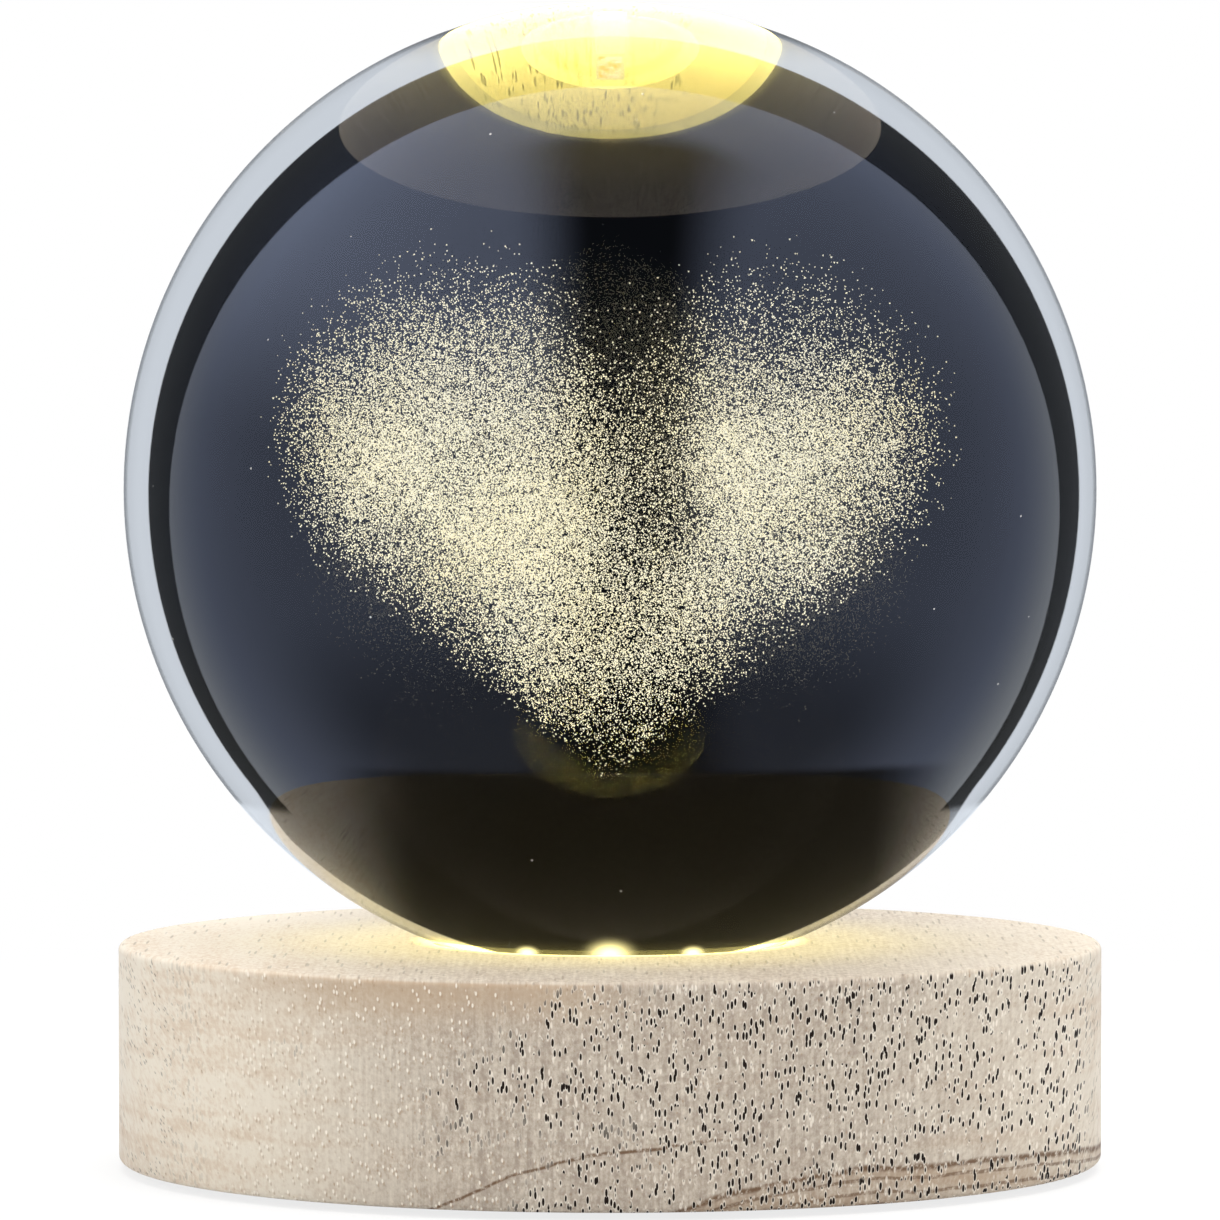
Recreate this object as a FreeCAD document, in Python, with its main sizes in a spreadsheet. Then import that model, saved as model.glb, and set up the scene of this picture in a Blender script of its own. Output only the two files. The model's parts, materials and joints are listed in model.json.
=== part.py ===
import FreeCAD, Part
import math
import os
import Sketcher

# Crystal ball lamp: a clear glass ball with a heart marked inside it, loose on a round wooden base that lights it.
# Millimetres, +Z up, the floor at z = 0, the front at -Y. The base is a turned wooden disc. Six light-emitting
# diodes on a round board look up through the seat hole. A bay under the roof of the base holds the power board,
# whose socket and push switch face the rear. A screwed cover with rubber feet closes the bay.

# Driving dimensions: name, value and what it measures.
SIZES = [
    ("ball_diameter", 80.0, "glass ball"),
    ("seat_diameter", 28.8, "circle on the base that the ball bears on"),
    ("seat_bevel", 1.0, "radial width of the bevel that the ball bears on"),
    ("seat_gap", 0.1, "clearance between the ball and its bevel"),
    ("heart_lobe_radius", 9.9, "round of each lobe of the marked heart"),
    ("heart_lobe_offset", 8.4, "lobe centre to the middle of the heart"),
    ("heart_lobe_rise", 3.3, "lobe centres above the centre of the ball"),
    ("heart_point_drop", 16.2, "point where the sides of the heart would meet, below the centre of the ball"),
    ("heart_tip_radius", 0.8, "round of the heart's tip"),
    ("base_diameter", 81.0, "wooden base"),
    ("base_height", 18.0, "thickness of the board that the base is turned from"),
    ("edge_round", 0.6, "broken outer edges of the base"),
    ("bay_wall", 10.5, "wood between the bay and the outside"),
    ("roof_thickness", 7.6, "wood over the bay"),
    ("cover_rim", 4.0, "wood ring around the bottom cover"),
    ("cover_thickness", 2.0, "bottom cover"),
    ("cover_gap", 0.1, "clearance around the bottom cover"),
    ("foot_stand", 0.6, "how far the feet stand out under the base"),
    ("foot_diameter", 10.0, "rubber foot"),
    ("foot_sink", 1.0, "depth of a foot in the cover"),
    ("foot_inset", 9.5, "foot centre from the edge of the cover"),
    ("foot_count", 4, "rubber feet"),
    ("foot_gap", 0.05, "clearance around a foot in the cover"),
    ("ball_to_board", 1.0, "lowest point of the ball above the light board"),
    ("light_board_thickness", 1.2, "round board of the diodes"),
    ("light_board_gap", 0.2, "clearance around the light board"),
    ("led_count", 6, "diodes"),
    ("led_circle", 17.8, "circle of the diodes"),
    ("led_length", 3.5, "diode package along the radius"),
    ("led_width", 2.8, "diode package across the radius"),
    ("led_height", 0.7, "diode package"),
    ("led_rim", 0.3, "package wall around its window"),
    ("led_window_depth", 0.3, "yellow window in the package"),
    ("light_screw_count", 3, "screws of the light board"),
    ("small_shank", 1.6, "small screw, shank"),
    ("small_head", 3.0, "small screw, head"),
    ("small_head_height", 1.1, "small screw, head height"),
    ("small_head_room", 0.3, "wood around the head of a small screw"),
    ("small_grip", 4.2, "small screw, length in the wood"),
    ("lip_skin", 1.1, "wood left over the pilot holes of the light board's screws"),
    ("pilot_spare", 0.3, "pilot hole deeper than its screw"),
    ("screw_play", 0.1, "clearance around a shank in its board or cover"),
    ("cover_screw_count", 3, "screws of the bottom cover"),
    ("cover_shank", 2.4, "cover screw, shank"),
    ("cover_head", 4.6, "cover screw, countersunk head"),
    ("cover_head_height", 1.1, "cover screw, height of the head"),
    ("cover_grip", 6.0, "cover screw, length in the wood"),
    ("port_wall", 3.7, "wood between the bay and the rear plate"),
    ("plate_thickness", 1.5, "rear plate"),
    ("plate_inset", 2.3, "face of the rear plate behind the outermost wood"),
    ("plate_ledge", 1.2, "ledge of wood that the rear plate bears on"),
    ("plate_gap", 0.1, "clearance around the rear plate"),
    ("power_board_depth", 13.7, "power board without its tongue"),
    ("power_board_thickness", 1.2, "power board"),
    ("power_board_gap", 0.3, "clearance around the power board"),
    ("part_headroom", 0.4, "room over the parts on the power board"),
    ("socket_offset", 4.8, "socket to the middle of the rear plate"),
    ("socket_width", 8.94, "socket shell"),
    ("socket_height", 3.2, "socket shell"),
    ("socket_length", 7.3, "socket shell"),
    ("socket_wall", 0.3, "socket shell"),
    ("socket_set_back", 0.2, "mouth of the socket behind the face of the rear plate"),
    ("socket_gap", 0.1, "clearance around the socket in the rear plate"),
    ("socket_side_room", 0.4, "room beside the socket in the bay"),
    ("socket_to_window", 1.5, "side of the socket to the end of its window"),
    ("socket_overhang", 1.9, "mouth of the socket in front of its board"),
    ("tongue_width", 6.7, "contact tongue in the socket"),
    ("tongue_thickness", 0.7, "contact tongue in the socket"),
    ("tongue_length", 4.5, "contact tongue in the socket"),
    ("button_offset", 5.2, "button to the middle of the rear plate"),
    ("button_diameter", 5.0, "button"),
    ("button_crown", 0.4, "round of the button's rim"),
    ("button_gap", 0.15, "clearance around the button"),
    ("button_stand", 1.2, "button in front of the rear plate"),
    ("button_travel", 1.5, "way that the button is pressed"),
    ("flange_overlap", 0.4, "flange of the button behind the rear plate"),
    ("flange_thickness", 0.8, "flange of the button"),
    ("flange_gap", 0.05, "flange to the rear plate"),
    ("flange_room", 0.25, "room around the flange"),
    ("stem_diameter", 2.9, "stem of the button"),
    ("plunger_diameter", 1.8, "plunger of the switch"),
    ("plunger_gap", 0.06, "clearance around the plunger in the switch"),
    ("plunger_grip", 2.0, "plunger in the button's stem"),
    ("plunger_hold", 2.4, "plunger in the switch when it isn't pressed"),
    ("switch_width", 6.0, "switch case"),
    ("switch_depth", 6.0, "switch case"),
    ("stem_to_switch", 0.6, "stem to switch when the button is pressed"),
    ("resistor_count", 2, "resistors on the power board"),
    ("resistor_length", 2.0, "resistor"),
    ("resistor_width", 1.25, "resistor"),
    ("resistor_height", 0.55, "resistor"),
    ("resistor_pitch", 2.6, "resistor to resistor"),
    ("part_margin", 2.0, "resistors and wires from the front edge of the power board"),
    ("wire_diameter", 1.2, "insulated wire"),
    ("wire_spacing", 5.0, "wire to wire"),
    ("wire_reach", 6.4, "upper end of a wire from the edge of the light board"),
    ("wire_lower_bend", 1.4, "bend of a wire over the power board"),
    ("wire_stub", 1.2, "straight upper end of a wire under the light board"),
]

FULL_TURN = 360.0
LEAST = 1e-6  # smallest change of volume, or difference of radius, that counts
OUTPUT = "parts"

doc = FreeCAD.newDocument("CrystalBallLamp")
sheet = doc.addObject("Spreadsheet::Sheet", "Sizes")
for row, (alias, number, meaning) in enumerate(SIZES, 1):
    sheet.set(f"A{row}", alias)
    sheet.set(f"B{row}", str(number))
    sheet.setAlias(f"B{row}", alias)
    sheet.set(f"C{row}", meaning)
doc.recompute()


class Size:
    """A number together with the expression that gives it in the document."""

    def __init__(self, value, text):
        self.value = float(value)
        self.text = text

    @staticmethod
    def of(other):
        """The size itself, or a plain number as a size."""
        return other if isinstance(other, Size) else Size(other, repr(float(other)))

    def joined(self, sign, other, value):
        """The size that an operator gives, with its expression in brackets."""
        return Size(value, f"({self.text} {sign} {other.text})")

    def __add__(self, other):
        other = Size.of(other)
        return self.joined("+", other, self.value + other.value)

    def __sub__(self, other):
        other = Size.of(other)
        return self.joined("-", other, self.value - other.value)

    def __mul__(self, other):
        other = Size.of(other)
        return self.joined("*", other, self.value * other.value)

    def __truediv__(self, other):
        other = Size.of(other)
        return self.joined("/", other, self.value / other.value)

    def __rmul__(self, other):
        return Size.of(other) * self

    def __neg__(self):
        return Size(-self.value, f"(0 - {self.text})")

    def root(self):
        """The square root."""
        return Size(math.sqrt(self.value), f"sqrt({self.text})")


class Sheet:
    """The driving dimensions, each read by its alias."""

    def __getattr__(self, alias):
        return Size(sheet.get(alias), f"Sizes.{alias}")


s = Sheet()
NIL = Size.of(0)

# Places worked out from the driving dimensions.
ball_radius = s.ball_diameter / 2
base_radius = s.base_diameter / 2
seat_radius = s.seat_diameter / 2
underside = s.foot_stand
base_top = underside + s.base_height
bearing_radius = ball_radius + s.seat_gap
contact_rise = (bearing_radius * bearing_radius - seat_radius * seat_radius).root()
bevel_slope = seat_radius / contact_rise
ball_centre = base_top - s.seat_bevel / 2 * bevel_slope + contact_rise
hole_radius = seat_radius - s.seat_bevel / 2
bevel_drop = s.seat_bevel * bevel_slope
shelf = ball_centre - ball_radius - s.ball_to_board
shelf_width = s.small_head + s.small_head_room * 2
light_pocket_radius = hole_radius + shelf_width
light_board_radius = light_pocket_radius - s.light_board_gap
light_board_back = shelf - s.light_board_thickness
light_screw_radius = hole_radius + shelf_width / 2
lip_pilot_top = base_top - s.lip_skin
bay_radius = base_radius - s.bay_wall
bay_roof = base_top - s.roof_thickness
cover_seat = underside + s.cover_thickness
rebate_radius = base_radius - s.cover_rim
cover_radius = rebate_radius - s.cover_gap
cover_screw_radius = (bay_radius + rebate_radius) / 2
foot_radius = s.foot_diameter / 2
foot_circle_radius = cover_radius - s.foot_inset
foot_top = underside + s.foot_sink
plate_face = base_radius - s.plate_inset
plate_back = plate_face - s.plate_thickness
slot_end = plate_back - s.port_wall
power_board_top = bay_roof - s.part_headroom - s.socket_height
port_axis = power_board_top + s.socket_height / 2
power_board_rear = slot_end - s.power_board_gap
power_board_front = power_board_rear - s.power_board_depth
slot_start = power_board_front - s.power_board_gap
power_ledge = s.small_head + s.small_head_room * 2
part_slot_half = s.socket_offset + s.socket_width / 2 + s.socket_side_room
board_slot_half = part_slot_half + power_ledge
power_board_half = board_slot_half - s.power_board_gap
power_screw_x = part_slot_half + power_ledge / 2
power_screw_y = power_board_rear - s.small_head / 2
socket_mouth = plate_face - s.socket_set_back
socket_back = socket_mouth - s.socket_length
button_face = plate_face + s.button_stand
button_radius = s.button_diameter / 2
plate_hole_radius = button_radius + s.button_gap
flange_radius = plate_hole_radius + s.flange_overlap
window_half_height = flange_radius + s.flange_room
window_half_length = s.socket_offset + s.socket_width / 2 + s.socket_to_window
plate_half_height = window_half_height + s.plate_ledge
plate_half_length = window_half_length + s.plate_ledge
flange_front = plate_back - s.flange_gap
flange_back = flange_front - s.flange_thickness
stem_radius = s.stem_diameter / 2
stem_end = power_board_rear + s.flange_gap
switch_front = stem_end - s.button_travel - s.stem_to_switch
switch_back = switch_front - s.switch_depth
plunger_radius = s.plunger_diameter / 2
plunger_end = switch_front - s.plunger_hold
plunger_bore_end = plunger_end - s.button_travel - s.pilot_spare
plunger_tip = stem_end + s.plunger_grip
part_row = power_board_front + s.part_margin
wire_top_y = light_board_radius - s.wire_reach
wire_run = power_board_top + s.wire_lower_bend + s.wire_diameter
wire_upper_bend = light_board_back - s.wire_stub - wire_run


class Piece:
    """A sub-part as a body, with the few operations that the lamp's pieces are made by."""

    made = []

    def __init__(self, label):
        self.body = doc.addObject("PartDesign::Body", label)
        self.body.Label = label
        self.body.AllowCompound = True
        Piece.made.append(self.body)

    def origin(self, role):
        """The body's own plane or axis of that role."""
        return next(f for f in self.body.Origin.OriginFeatures if f.Role == role)

    def sketch(self, name, plane, offset=NIL):
        """An empty sketch on one of the body's planes, moved along the plane's normal."""
        drawing = self.body.newObject("Sketcher::SketchObject", name)
        drawing.AttachmentSupport = [(self.origin(plane), "")]
        drawing.MapMode = "FlatFace"
        drawing.AttachmentOffset.Base = FreeCAD.Vector(0, 0, offset.value)
        drawing.setExpression("AttachmentOffset.Base.z", offset.text)
        return drawing

    def feature(self, kind, name, profile, **settings):
        """A feature made from a sketch; a Size among its settings is bound to the sheet."""
        before = self.volume()
        made = self.body.newObject(f"PartDesign::{kind}", name)
        made.Profile = profile
        profile.Visibility = False
        self.settle(made, settings)
        self.test(made, before)
        return made

    def settle(self, made, settings):
        """Sets a feature's properties, binds the sizes among them and works out the result."""
        for key, value in settings.items():
            if isinstance(value, Size):
                setattr(made, key, int(value.value) if key == "Occurrences" else value.value)
                made.setExpression(key, value.text)
            else:
                setattr(made, key, value)
        self.body.Tip = made
        doc.recompute()

    def test(self, made, before):
        """Stops the build where a feature changed nothing or cut when it should add."""
        change = self.volume() - before
        cuts = made.TypeId in ("PartDesign::Pocket", "PartDesign::Groove")
        if not made.isValid() or (change > -LEAST if cuts else change < LEAST):
            raise RuntimeError(f"{self.body.Label}: {made.Name} changed the volume by {change}")

    def volume(self):
        """The volume made so far."""
        return self.body.Shape.Volume if self.body.Tip else 0.0

    def turned(self, name, profile):
        """The sketch turned about the construction line in it."""
        return self.feature("Revolution", name, profile, ReferenceAxis=(profile, ["Axis0"]), Angle=FULL_TURN)

    def around(self, features, count):
        """The features repeated around the vertical axis."""
        ring = self.body.newObject("PartDesign::PolarPattern", "around")
        ring.Originals = features
        ring.Axis = (self.origin("Z_Axis"), [""])
        self.settle(ring, {"Angle": FULL_TURN, "Occurrences": count})
        return ring

    def mirrored(self, features):
        """The features repeated on the other side of the middle plane."""
        pair = self.body.newObject("PartDesign::Mirrored", "other_side")
        pair.Originals = features
        pair.MirrorPlane = (self.origin("YZ_Plane"), [""])
        self.settle(pair, {})
        return pair

    def doubled(self):
        """The whole piece so far, joined with its mirror image on the other side of the middle plane."""
        pair = self.body.newObject("PartDesign::Mirrored", "other_half")
        pair.TransformMode = "Whole shape"
        pair.MirrorPlane = (self.origin("YZ_Plane"), [""])
        self.settle(pair, {})
        return pair

    def rounded(self, name, radius, is_edge):
        """A fillet on the edges that the test picks."""
        picked = [f"Edge{i}" for i, e in enumerate(self.body.Shape.Edges, 1) if is_edge(e)]
        base = self.body.Tip
        fillet = self.body.newObject("PartDesign::Fillet", name)
        fillet.Base = (base, picked)
        self.settle(fillet, {"Radius": radius})
        return fillet


def at(drawing, geometry, end, x, y):
    """Holds a point of a sketch at a place measured from the sketch's origin."""
    for kind, size in (("DistanceX", x), ("DistanceY", y)):
        index = drawing.addConstraint(Sketcher.Constraint(kind, -1, 1, geometry, end, size.value))
        drawing.setExpression(f"Constraints[{index}]", size.text)


def measured(drawing, kind, geometry, size):
    """Gives an arc or a circle its radius."""
    index = drawing.addConstraint(Sketcher.Constraint(kind, geometry, size.value))
    drawing.setExpression(f"Constraints[{index}]", size.text)


def point(x, y):
    """A point of a sketch from two sizes."""
    return FreeCAD.Vector(x.value, y.value, 0)


def outline(drawing, corners):
    """A closed outline of straight lines through the corners."""
    first = drawing.GeometryCount
    count = len(corners)
    for i, corner in enumerate(corners):
        drawing.addGeometry(Part.LineSegment(point(*corner), point(*corners[(i + 1) % count])), False)
    for i, corner in enumerate(corners):
        following = first + (i + 1) % count
        drawing.addConstraint(Sketcher.Constraint("Coincident", first + i, 2, following, 1))
        at(drawing, first + i, 1, *corner)


def rectangle(drawing, low_x, high_x, low_y, high_y):
    """A closed rectangle."""
    outline(drawing, [(low_x, low_y), (high_x, low_y), (high_x, high_y), (low_x, high_y)])


def axis_line(drawing, start, end):
    """A construction line to turn the sketch about."""
    line = drawing.addGeometry(Part.LineSegment(point(*start), point(*end)), True)
    at(drawing, line, 1, *start)
    at(drawing, line, 2, *end)


def circle(drawing, x, y, radius):
    """A full circle."""
    ring = drawing.addGeometry(Part.Circle(point(x, y), FreeCAD.Vector(0, 0, 1), radius.value), False)
    at(drawing, ring, 3, x, y)
    measured(drawing, "Radius", ring, radius)


def stadium(drawing, x, y, half_length, half_height):
    """A slot outline with round ends, about a centre."""
    straight = half_length - half_height
    up = FreeCAD.Vector(0, 0, 1)
    right, left = x + straight, x - straight
    top, bottom = y + half_height, y - half_height
    quarter = math.pi / 2
    arc_right = Part.ArcOfCircle(Part.Circle(point(right, y), up, half_height.value), -quarter, quarter)
    arc_left = Part.ArcOfCircle(Part.Circle(point(left, y), up, half_height.value), quarter, 3 * quarter)
    first = drawing.addGeometry(arc_right, False)
    over = drawing.addGeometry(Part.LineSegment(point(right, top), point(left, top)), False)
    last = drawing.addGeometry(arc_left, False)
    under = drawing.addGeometry(Part.LineSegment(point(left, bottom), point(right, bottom)), False)
    at(drawing, first, 3, right, y)
    at(drawing, last, 3, left, y)
    for one, one_end, other, other_end in ((first, 2, over, 1), (over, 2, last, 1), (last, 2, under, 1),
                                           (under, 2, first, 1)):
        drawing.addConstraint(Sketcher.Constraint("Tangent", one, one_end, other, other_end))
    measured(drawing, "Radius", first, half_height)


def bolt_circle(piece, name, height, circle_radius, drill_radius, depth, count):
    """Round holes drilled upwards on a circle around the vertical axis."""
    drawing = piece.sketch(name, "XY_Plane", height)
    circle(drawing, NIL, -circle_radius, drill_radius)
    cut = piece.feature("Pocket", f"{name}_cut", drawing, Length=depth, Reversed=True)
    return piece.around([cut], count)


def engraved_heart():
    """The marked zone inside the ball: a heart of two teardrops that lean apart from one tip."""
    piece = Piece("engraved_heart")
    teardrop = piece.sketch("teardrop", "XZ_Plane")
    teardrop_outline(teardrop)
    doc.recompute()
    piece.turned("drop", teardrop)
    far_side = piece.sketch("far_side", "YZ_Plane")
    reach = s.heart_lobe_radius + s.heart_lobe_offset
    rectangle(far_side, -reach, reach, ball_centre - ball_radius, ball_centre + ball_radius)
    piece.feature("Pocket", "middle_cut", far_side, Length=reach)
    piece.doubled()
    return piece.body


def teardrop_outline(drawing):
    """Half of a teardrop beside its slanted axis: a round tip, a straight side and the round lobe, at tangents."""
    lobe_x = s.heart_lobe_offset
    lobe_z = ball_centre + s.heart_lobe_rise
    apex_z = ball_centre - s.heart_point_drop
    across, rise = lobe_x.value, lobe_z.value - apex_z.value
    span = math.hypot(across, rise)
    lean = math.atan2(rise, across)
    spread = math.asin(s.heart_lobe_radius.value / span)
    share = s.heart_tip_radius.value / s.heart_lobe_radius.value
    tip_centre = FreeCAD.Vector(across * share, apex_z.value + rise * share, 0)
    side_turn = lean - spread - math.pi / 2
    up = FreeCAD.Vector(0, 0, 1)
    tip_arc = Part.ArcOfCircle(Part.Circle(tip_centre, up, s.heart_tip_radius.value), lean - math.pi, side_turn)
    lobe_arc = Part.ArcOfCircle(Part.Circle(point(lobe_x, lobe_z), up, s.heart_lobe_radius.value), side_turn, lean)
    tip = drawing.addGeometry(tip_arc, False)
    side = drawing.addGeometry(Part.LineSegment(tip_arc.EndPoint, lobe_arc.StartPoint), False)
    lobe = drawing.addGeometry(lobe_arc, False)
    middle = drawing.addGeometry(Part.LineSegment(lobe_arc.EndPoint, tip_arc.StartPoint), False)
    axis = drawing.addGeometry(Part.LineSegment(point(NIL, apex_z), point(lobe_x, lobe_z)), True)
    at(drawing, axis, 1, NIL, apex_z)
    at(drawing, axis, 2, lobe_x, lobe_z)
    measured(drawing, "Radius", tip, s.heart_tip_radius)
    measured(drawing, "Radius", lobe, s.heart_lobe_radius)
    drawing.addConstraint(Sketcher.Constraint("Coincident", lobe, 3, axis, 2))
    drawing.addConstraint(Sketcher.Constraint("PointOnObject", tip, 3, axis))
    drawing.addConstraint(Sketcher.Constraint("Tangent", tip, 2, side, 1))
    drawing.addConstraint(Sketcher.Constraint("Tangent", side, 2, lobe, 1))
    drawing.addConstraint(Sketcher.Constraint("Coincident", lobe, 2, middle, 1))
    drawing.addConstraint(Sketcher.Constraint("Coincident", middle, 2, tip, 1))
    drawing.addConstraint(Sketcher.Constraint("PointOnObject", lobe, 2, axis))
    drawing.addConstraint(Sketcher.Constraint("PointOnObject", tip, 1, axis))
    drawing.addConstraint(Sketcher.Constraint("PointOnObject", axis, 1, side))


def crystal_ball(heart):
    """The glass ball around the marked zone."""
    blank = doc.addObject("Part::Sphere", "ball_blank")
    blank.setExpression("Radius", ball_radius.text)
    blank.setExpression("Placement.Base.z", ball_centre.text)
    ball = doc.addObject("Part::Cut", "crystal_ball")
    ball.Label = "crystal_ball"
    ball.Base = blank
    ball.Tool = heart
    Piece.made.append(ball)


def wooden_base():
    """The turned disc with its seat, light pocket and bay, and the openings milled for the rear plate."""
    piece = Piece("wooden_base")
    section = piece.sketch("section", "XZ_Plane")
    outline(section, [
        (seat_radius + s.seat_bevel / 2, base_top),
        (base_radius, base_top),
        (base_radius, underside),
        (rebate_radius, underside),
        (rebate_radius, cover_seat),
        (bay_radius, cover_seat),
        (bay_radius, bay_roof),
        (light_pocket_radius, bay_roof),
        (light_pocket_radius, shelf),
        (hole_radius, shelf),
        (hole_radius, base_top - bevel_drop),
    ])
    axis_line(section, (NIL, NIL), (NIL, base_top))
    piece.turned("disc", section)
    piece.rounded("broken_edges", s.edge_round, is_outer_edge)
    milled(piece, "part_slot", part_slot_half, wire_top_y, slot_end, bay_roof)
    milled(piece, "board_slot", board_slot_half, slot_start, slot_end, power_board_top)
    window = piece.sketch("window", "XZ_Plane", -slot_end)
    stadium(window, NIL, port_axis, window_half_length, window_half_height)
    piece.feature("Pocket", "window_cut", window, Length=s.port_wall + s.plate_thickness)
    recess = piece.sketch("plate_recess", "XZ_Plane", -plate_back)
    stadium(recess, NIL, port_axis, plate_half_length + s.plate_gap, plate_half_height + s.plate_gap)
    piece.feature("Pocket", "plate_recess_cut", recess, Length=s.plate_thickness + s.plate_inset)
    bolt_circle(piece, "lip_pilots", shelf, light_screw_radius, s.small_shank / 2, lip_pilot_top - shelf,
                s.light_screw_count)
    bolt_circle(piece, "cover_pilots", cover_seat, cover_screw_radius, s.cover_shank / 2,
                s.cover_grip + s.pilot_spare, s.cover_screw_count)
    pilots = piece.sketch("power_pilots", "XY_Plane", power_board_top)
    circle(pilots, power_screw_x, power_screw_y, s.small_shank / 2)
    cut = piece.feature("Pocket", "power_pilots_cut", pilots, Length=s.small_grip + s.pilot_spare, Reversed=True)
    piece.mirrored([cut])


def is_outer_edge(edge):
    """Whether an edge is a full outer circle of the wooden base."""
    round_edge = edge.Curve.TypeId == "Part::GeomCircle"
    return round_edge and abs(edge.Curve.Radius - base_radius.value) < LEAST


def milled(piece, name, half_width, start, end, roof):
    """A slot milled from below, up to its roof."""
    drawing = piece.sketch(name, "XY_Plane", cover_seat)
    rectangle(drawing, -half_width, half_width, start, end)
    piece.feature("Pocket", f"{name}_cut", drawing, Length=roof - cover_seat, Reversed=True)


def light_board():
    """The round board of the diodes, with the holes of its screws."""
    piece = Piece("light_board")
    disc = piece.sketch("disc", "XY_Plane", light_board_back)
    circle(disc, NIL, NIL, light_board_radius)
    piece.feature("Pad", "board", disc, Length=s.light_board_thickness)
    bolt_circle(piece, "screw_holes", light_board_back, light_screw_radius, s.small_shank / 2 + s.screw_play,
                s.light_board_thickness, s.light_screw_count)


def led_packages():
    """The white packages of the diodes, each with the pocket of its window."""
    piece = Piece("led_packages")
    foot = piece.sketch("foot", "XY_Plane", shelf)
    centre = s.led_circle / 2
    half_length, half_width = s.led_length / 2, s.led_width / 2
    rectangle(foot, -half_width, half_width, -centre - half_length, -centre + half_length)
    body = piece.feature("Pad", "package", foot, Length=s.led_height)
    opening = piece.sketch("opening", "XY_Plane", shelf + s.led_height)
    led_window_outline(opening)
    pocket = piece.feature("Pocket", "opening_cut", opening, Length=s.led_window_depth)
    piece.around([body, pocket], s.led_count)


def led_window_outline(drawing):
    """The window of the diode at the front."""
    centre = s.led_circle / 2
    half_length = s.led_length / 2 - s.led_rim
    half_width = s.led_width / 2 - s.led_rim
    rectangle(drawing, -half_width, half_width, -centre - half_length, -centre + half_length)


def led_windows():
    """The yellow windows that the light leaves by."""
    piece = Piece("led_windows")
    drawing = piece.sketch("window", "XY_Plane", shelf + s.led_height - s.led_window_depth)
    led_window_outline(drawing)
    fill = piece.feature("Pad", "fill", drawing, Length=s.led_window_depth)
    piece.around([fill], s.led_count)


def small_screw(piece, plane, offset, axis, head_top, tip):
    """A small pan-head screw that points up, its head under the board that it holds."""
    profile = piece.sketch("screw_profile", plane, offset)
    shank, head = s.small_shank / 2, s.small_head / 2
    head_bottom = head_top - s.small_head_height
    outline(profile, [
        (axis, head_bottom),
        (axis + head, head_bottom),
        (axis + head, head_top),
        (axis + shank, head_top),
        (axis + shank, tip),
        (axis, tip),
    ])
    axis_line(profile, (axis, head_bottom), (axis, tip))
    return piece.turned("screw", profile)


def light_board_screws():
    """The screws that hold the light board against its shelf."""
    piece = Piece("light_board_screws")
    tip = lip_pilot_top - s.pilot_spare
    screw = small_screw(piece, "YZ_Plane", NIL, -light_screw_radius, light_board_back, tip)
    piece.around([screw], s.light_screw_count)


def power_board():
    """The board in the bay: it bears up against two ledges, and its tongue carries the socket."""
    piece = Piece("power_board")
    half = power_board_half
    socket_flat = (s.socket_width - s.socket_height) / 2
    tongue_left = -s.socket_offset - socket_flat
    tongue_right = -s.socket_offset + socket_flat
    tongue_end = socket_mouth - s.socket_overhang
    plan = piece.sketch("plan", "XY_Plane", power_board_top - s.power_board_thickness)
    outline(plan, [
        (-half, power_board_front),
        (half, power_board_front),
        (half, power_board_rear),
        (tongue_right, power_board_rear),
        (tongue_right, tongue_end),
        (tongue_left, tongue_end),
        (tongue_left, power_board_rear),
        (-half, power_board_rear),
    ])
    piece.feature("Pad", "board", plan, Length=s.power_board_thickness)
    holes = piece.sketch("screw_holes", "XY_Plane", power_board_top)
    circle(holes, power_screw_x, power_screw_y, s.small_shank / 2 + s.screw_play)
    cut = piece.feature("Pocket", "screw_holes_cut", holes, Length=s.power_board_thickness)
    piece.mirrored([cut])


def power_board_screws():
    """The two screws that hold the power board against its ledges."""
    piece = Piece("power_board_screws")
    head_top = power_board_top - s.power_board_thickness
    tip = power_board_top + s.small_grip
    screw = small_screw(piece, "XZ_Plane", -power_screw_y, power_screw_x, head_top, tip)
    piece.mirrored([screw])


def socket_shell():
    """The drawn metal shell of the power socket."""
    piece = Piece("socket_shell")
    half_width, half_height = s.socket_width / 2, s.socket_height / 2
    ring = piece.sketch("ring", "XZ_Plane", -socket_back)
    stadium(ring, -s.socket_offset, port_axis, half_width, half_height)
    stadium(ring, -s.socket_offset, port_axis, half_width - s.socket_wall, half_height - s.socket_wall)
    piece.feature("Pad", "shell", ring, Length=s.socket_length, Reversed=True)


def socket_tongue():
    """The moulding that closes the back of the socket and carries the contact tongue."""
    piece = Piece("socket_tongue")
    half_width = s.socket_width / 2 - s.socket_wall
    half_height = s.socket_height / 2 - s.socket_wall
    plug_end = socket_mouth - s.socket_set_back - s.tongue_length
    plug = piece.sketch("plug", "XZ_Plane", -socket_back)
    stadium(plug, -s.socket_offset, port_axis, half_width, half_height)
    piece.feature("Pad", "plug_pad", plug, Length=plug_end - socket_back, Reversed=True)
    blade = piece.sketch("blade", "XZ_Plane", -plug_end)
    half_blade, half_thick = s.tongue_width / 2, s.tongue_thickness / 2
    rectangle(blade, -s.socket_offset - half_blade, -s.socket_offset + half_blade,
              port_axis - half_thick, port_axis + half_thick)
    piece.feature("Pad", "blade_pad", blade, Length=s.tongue_length, Reversed=True)


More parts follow.
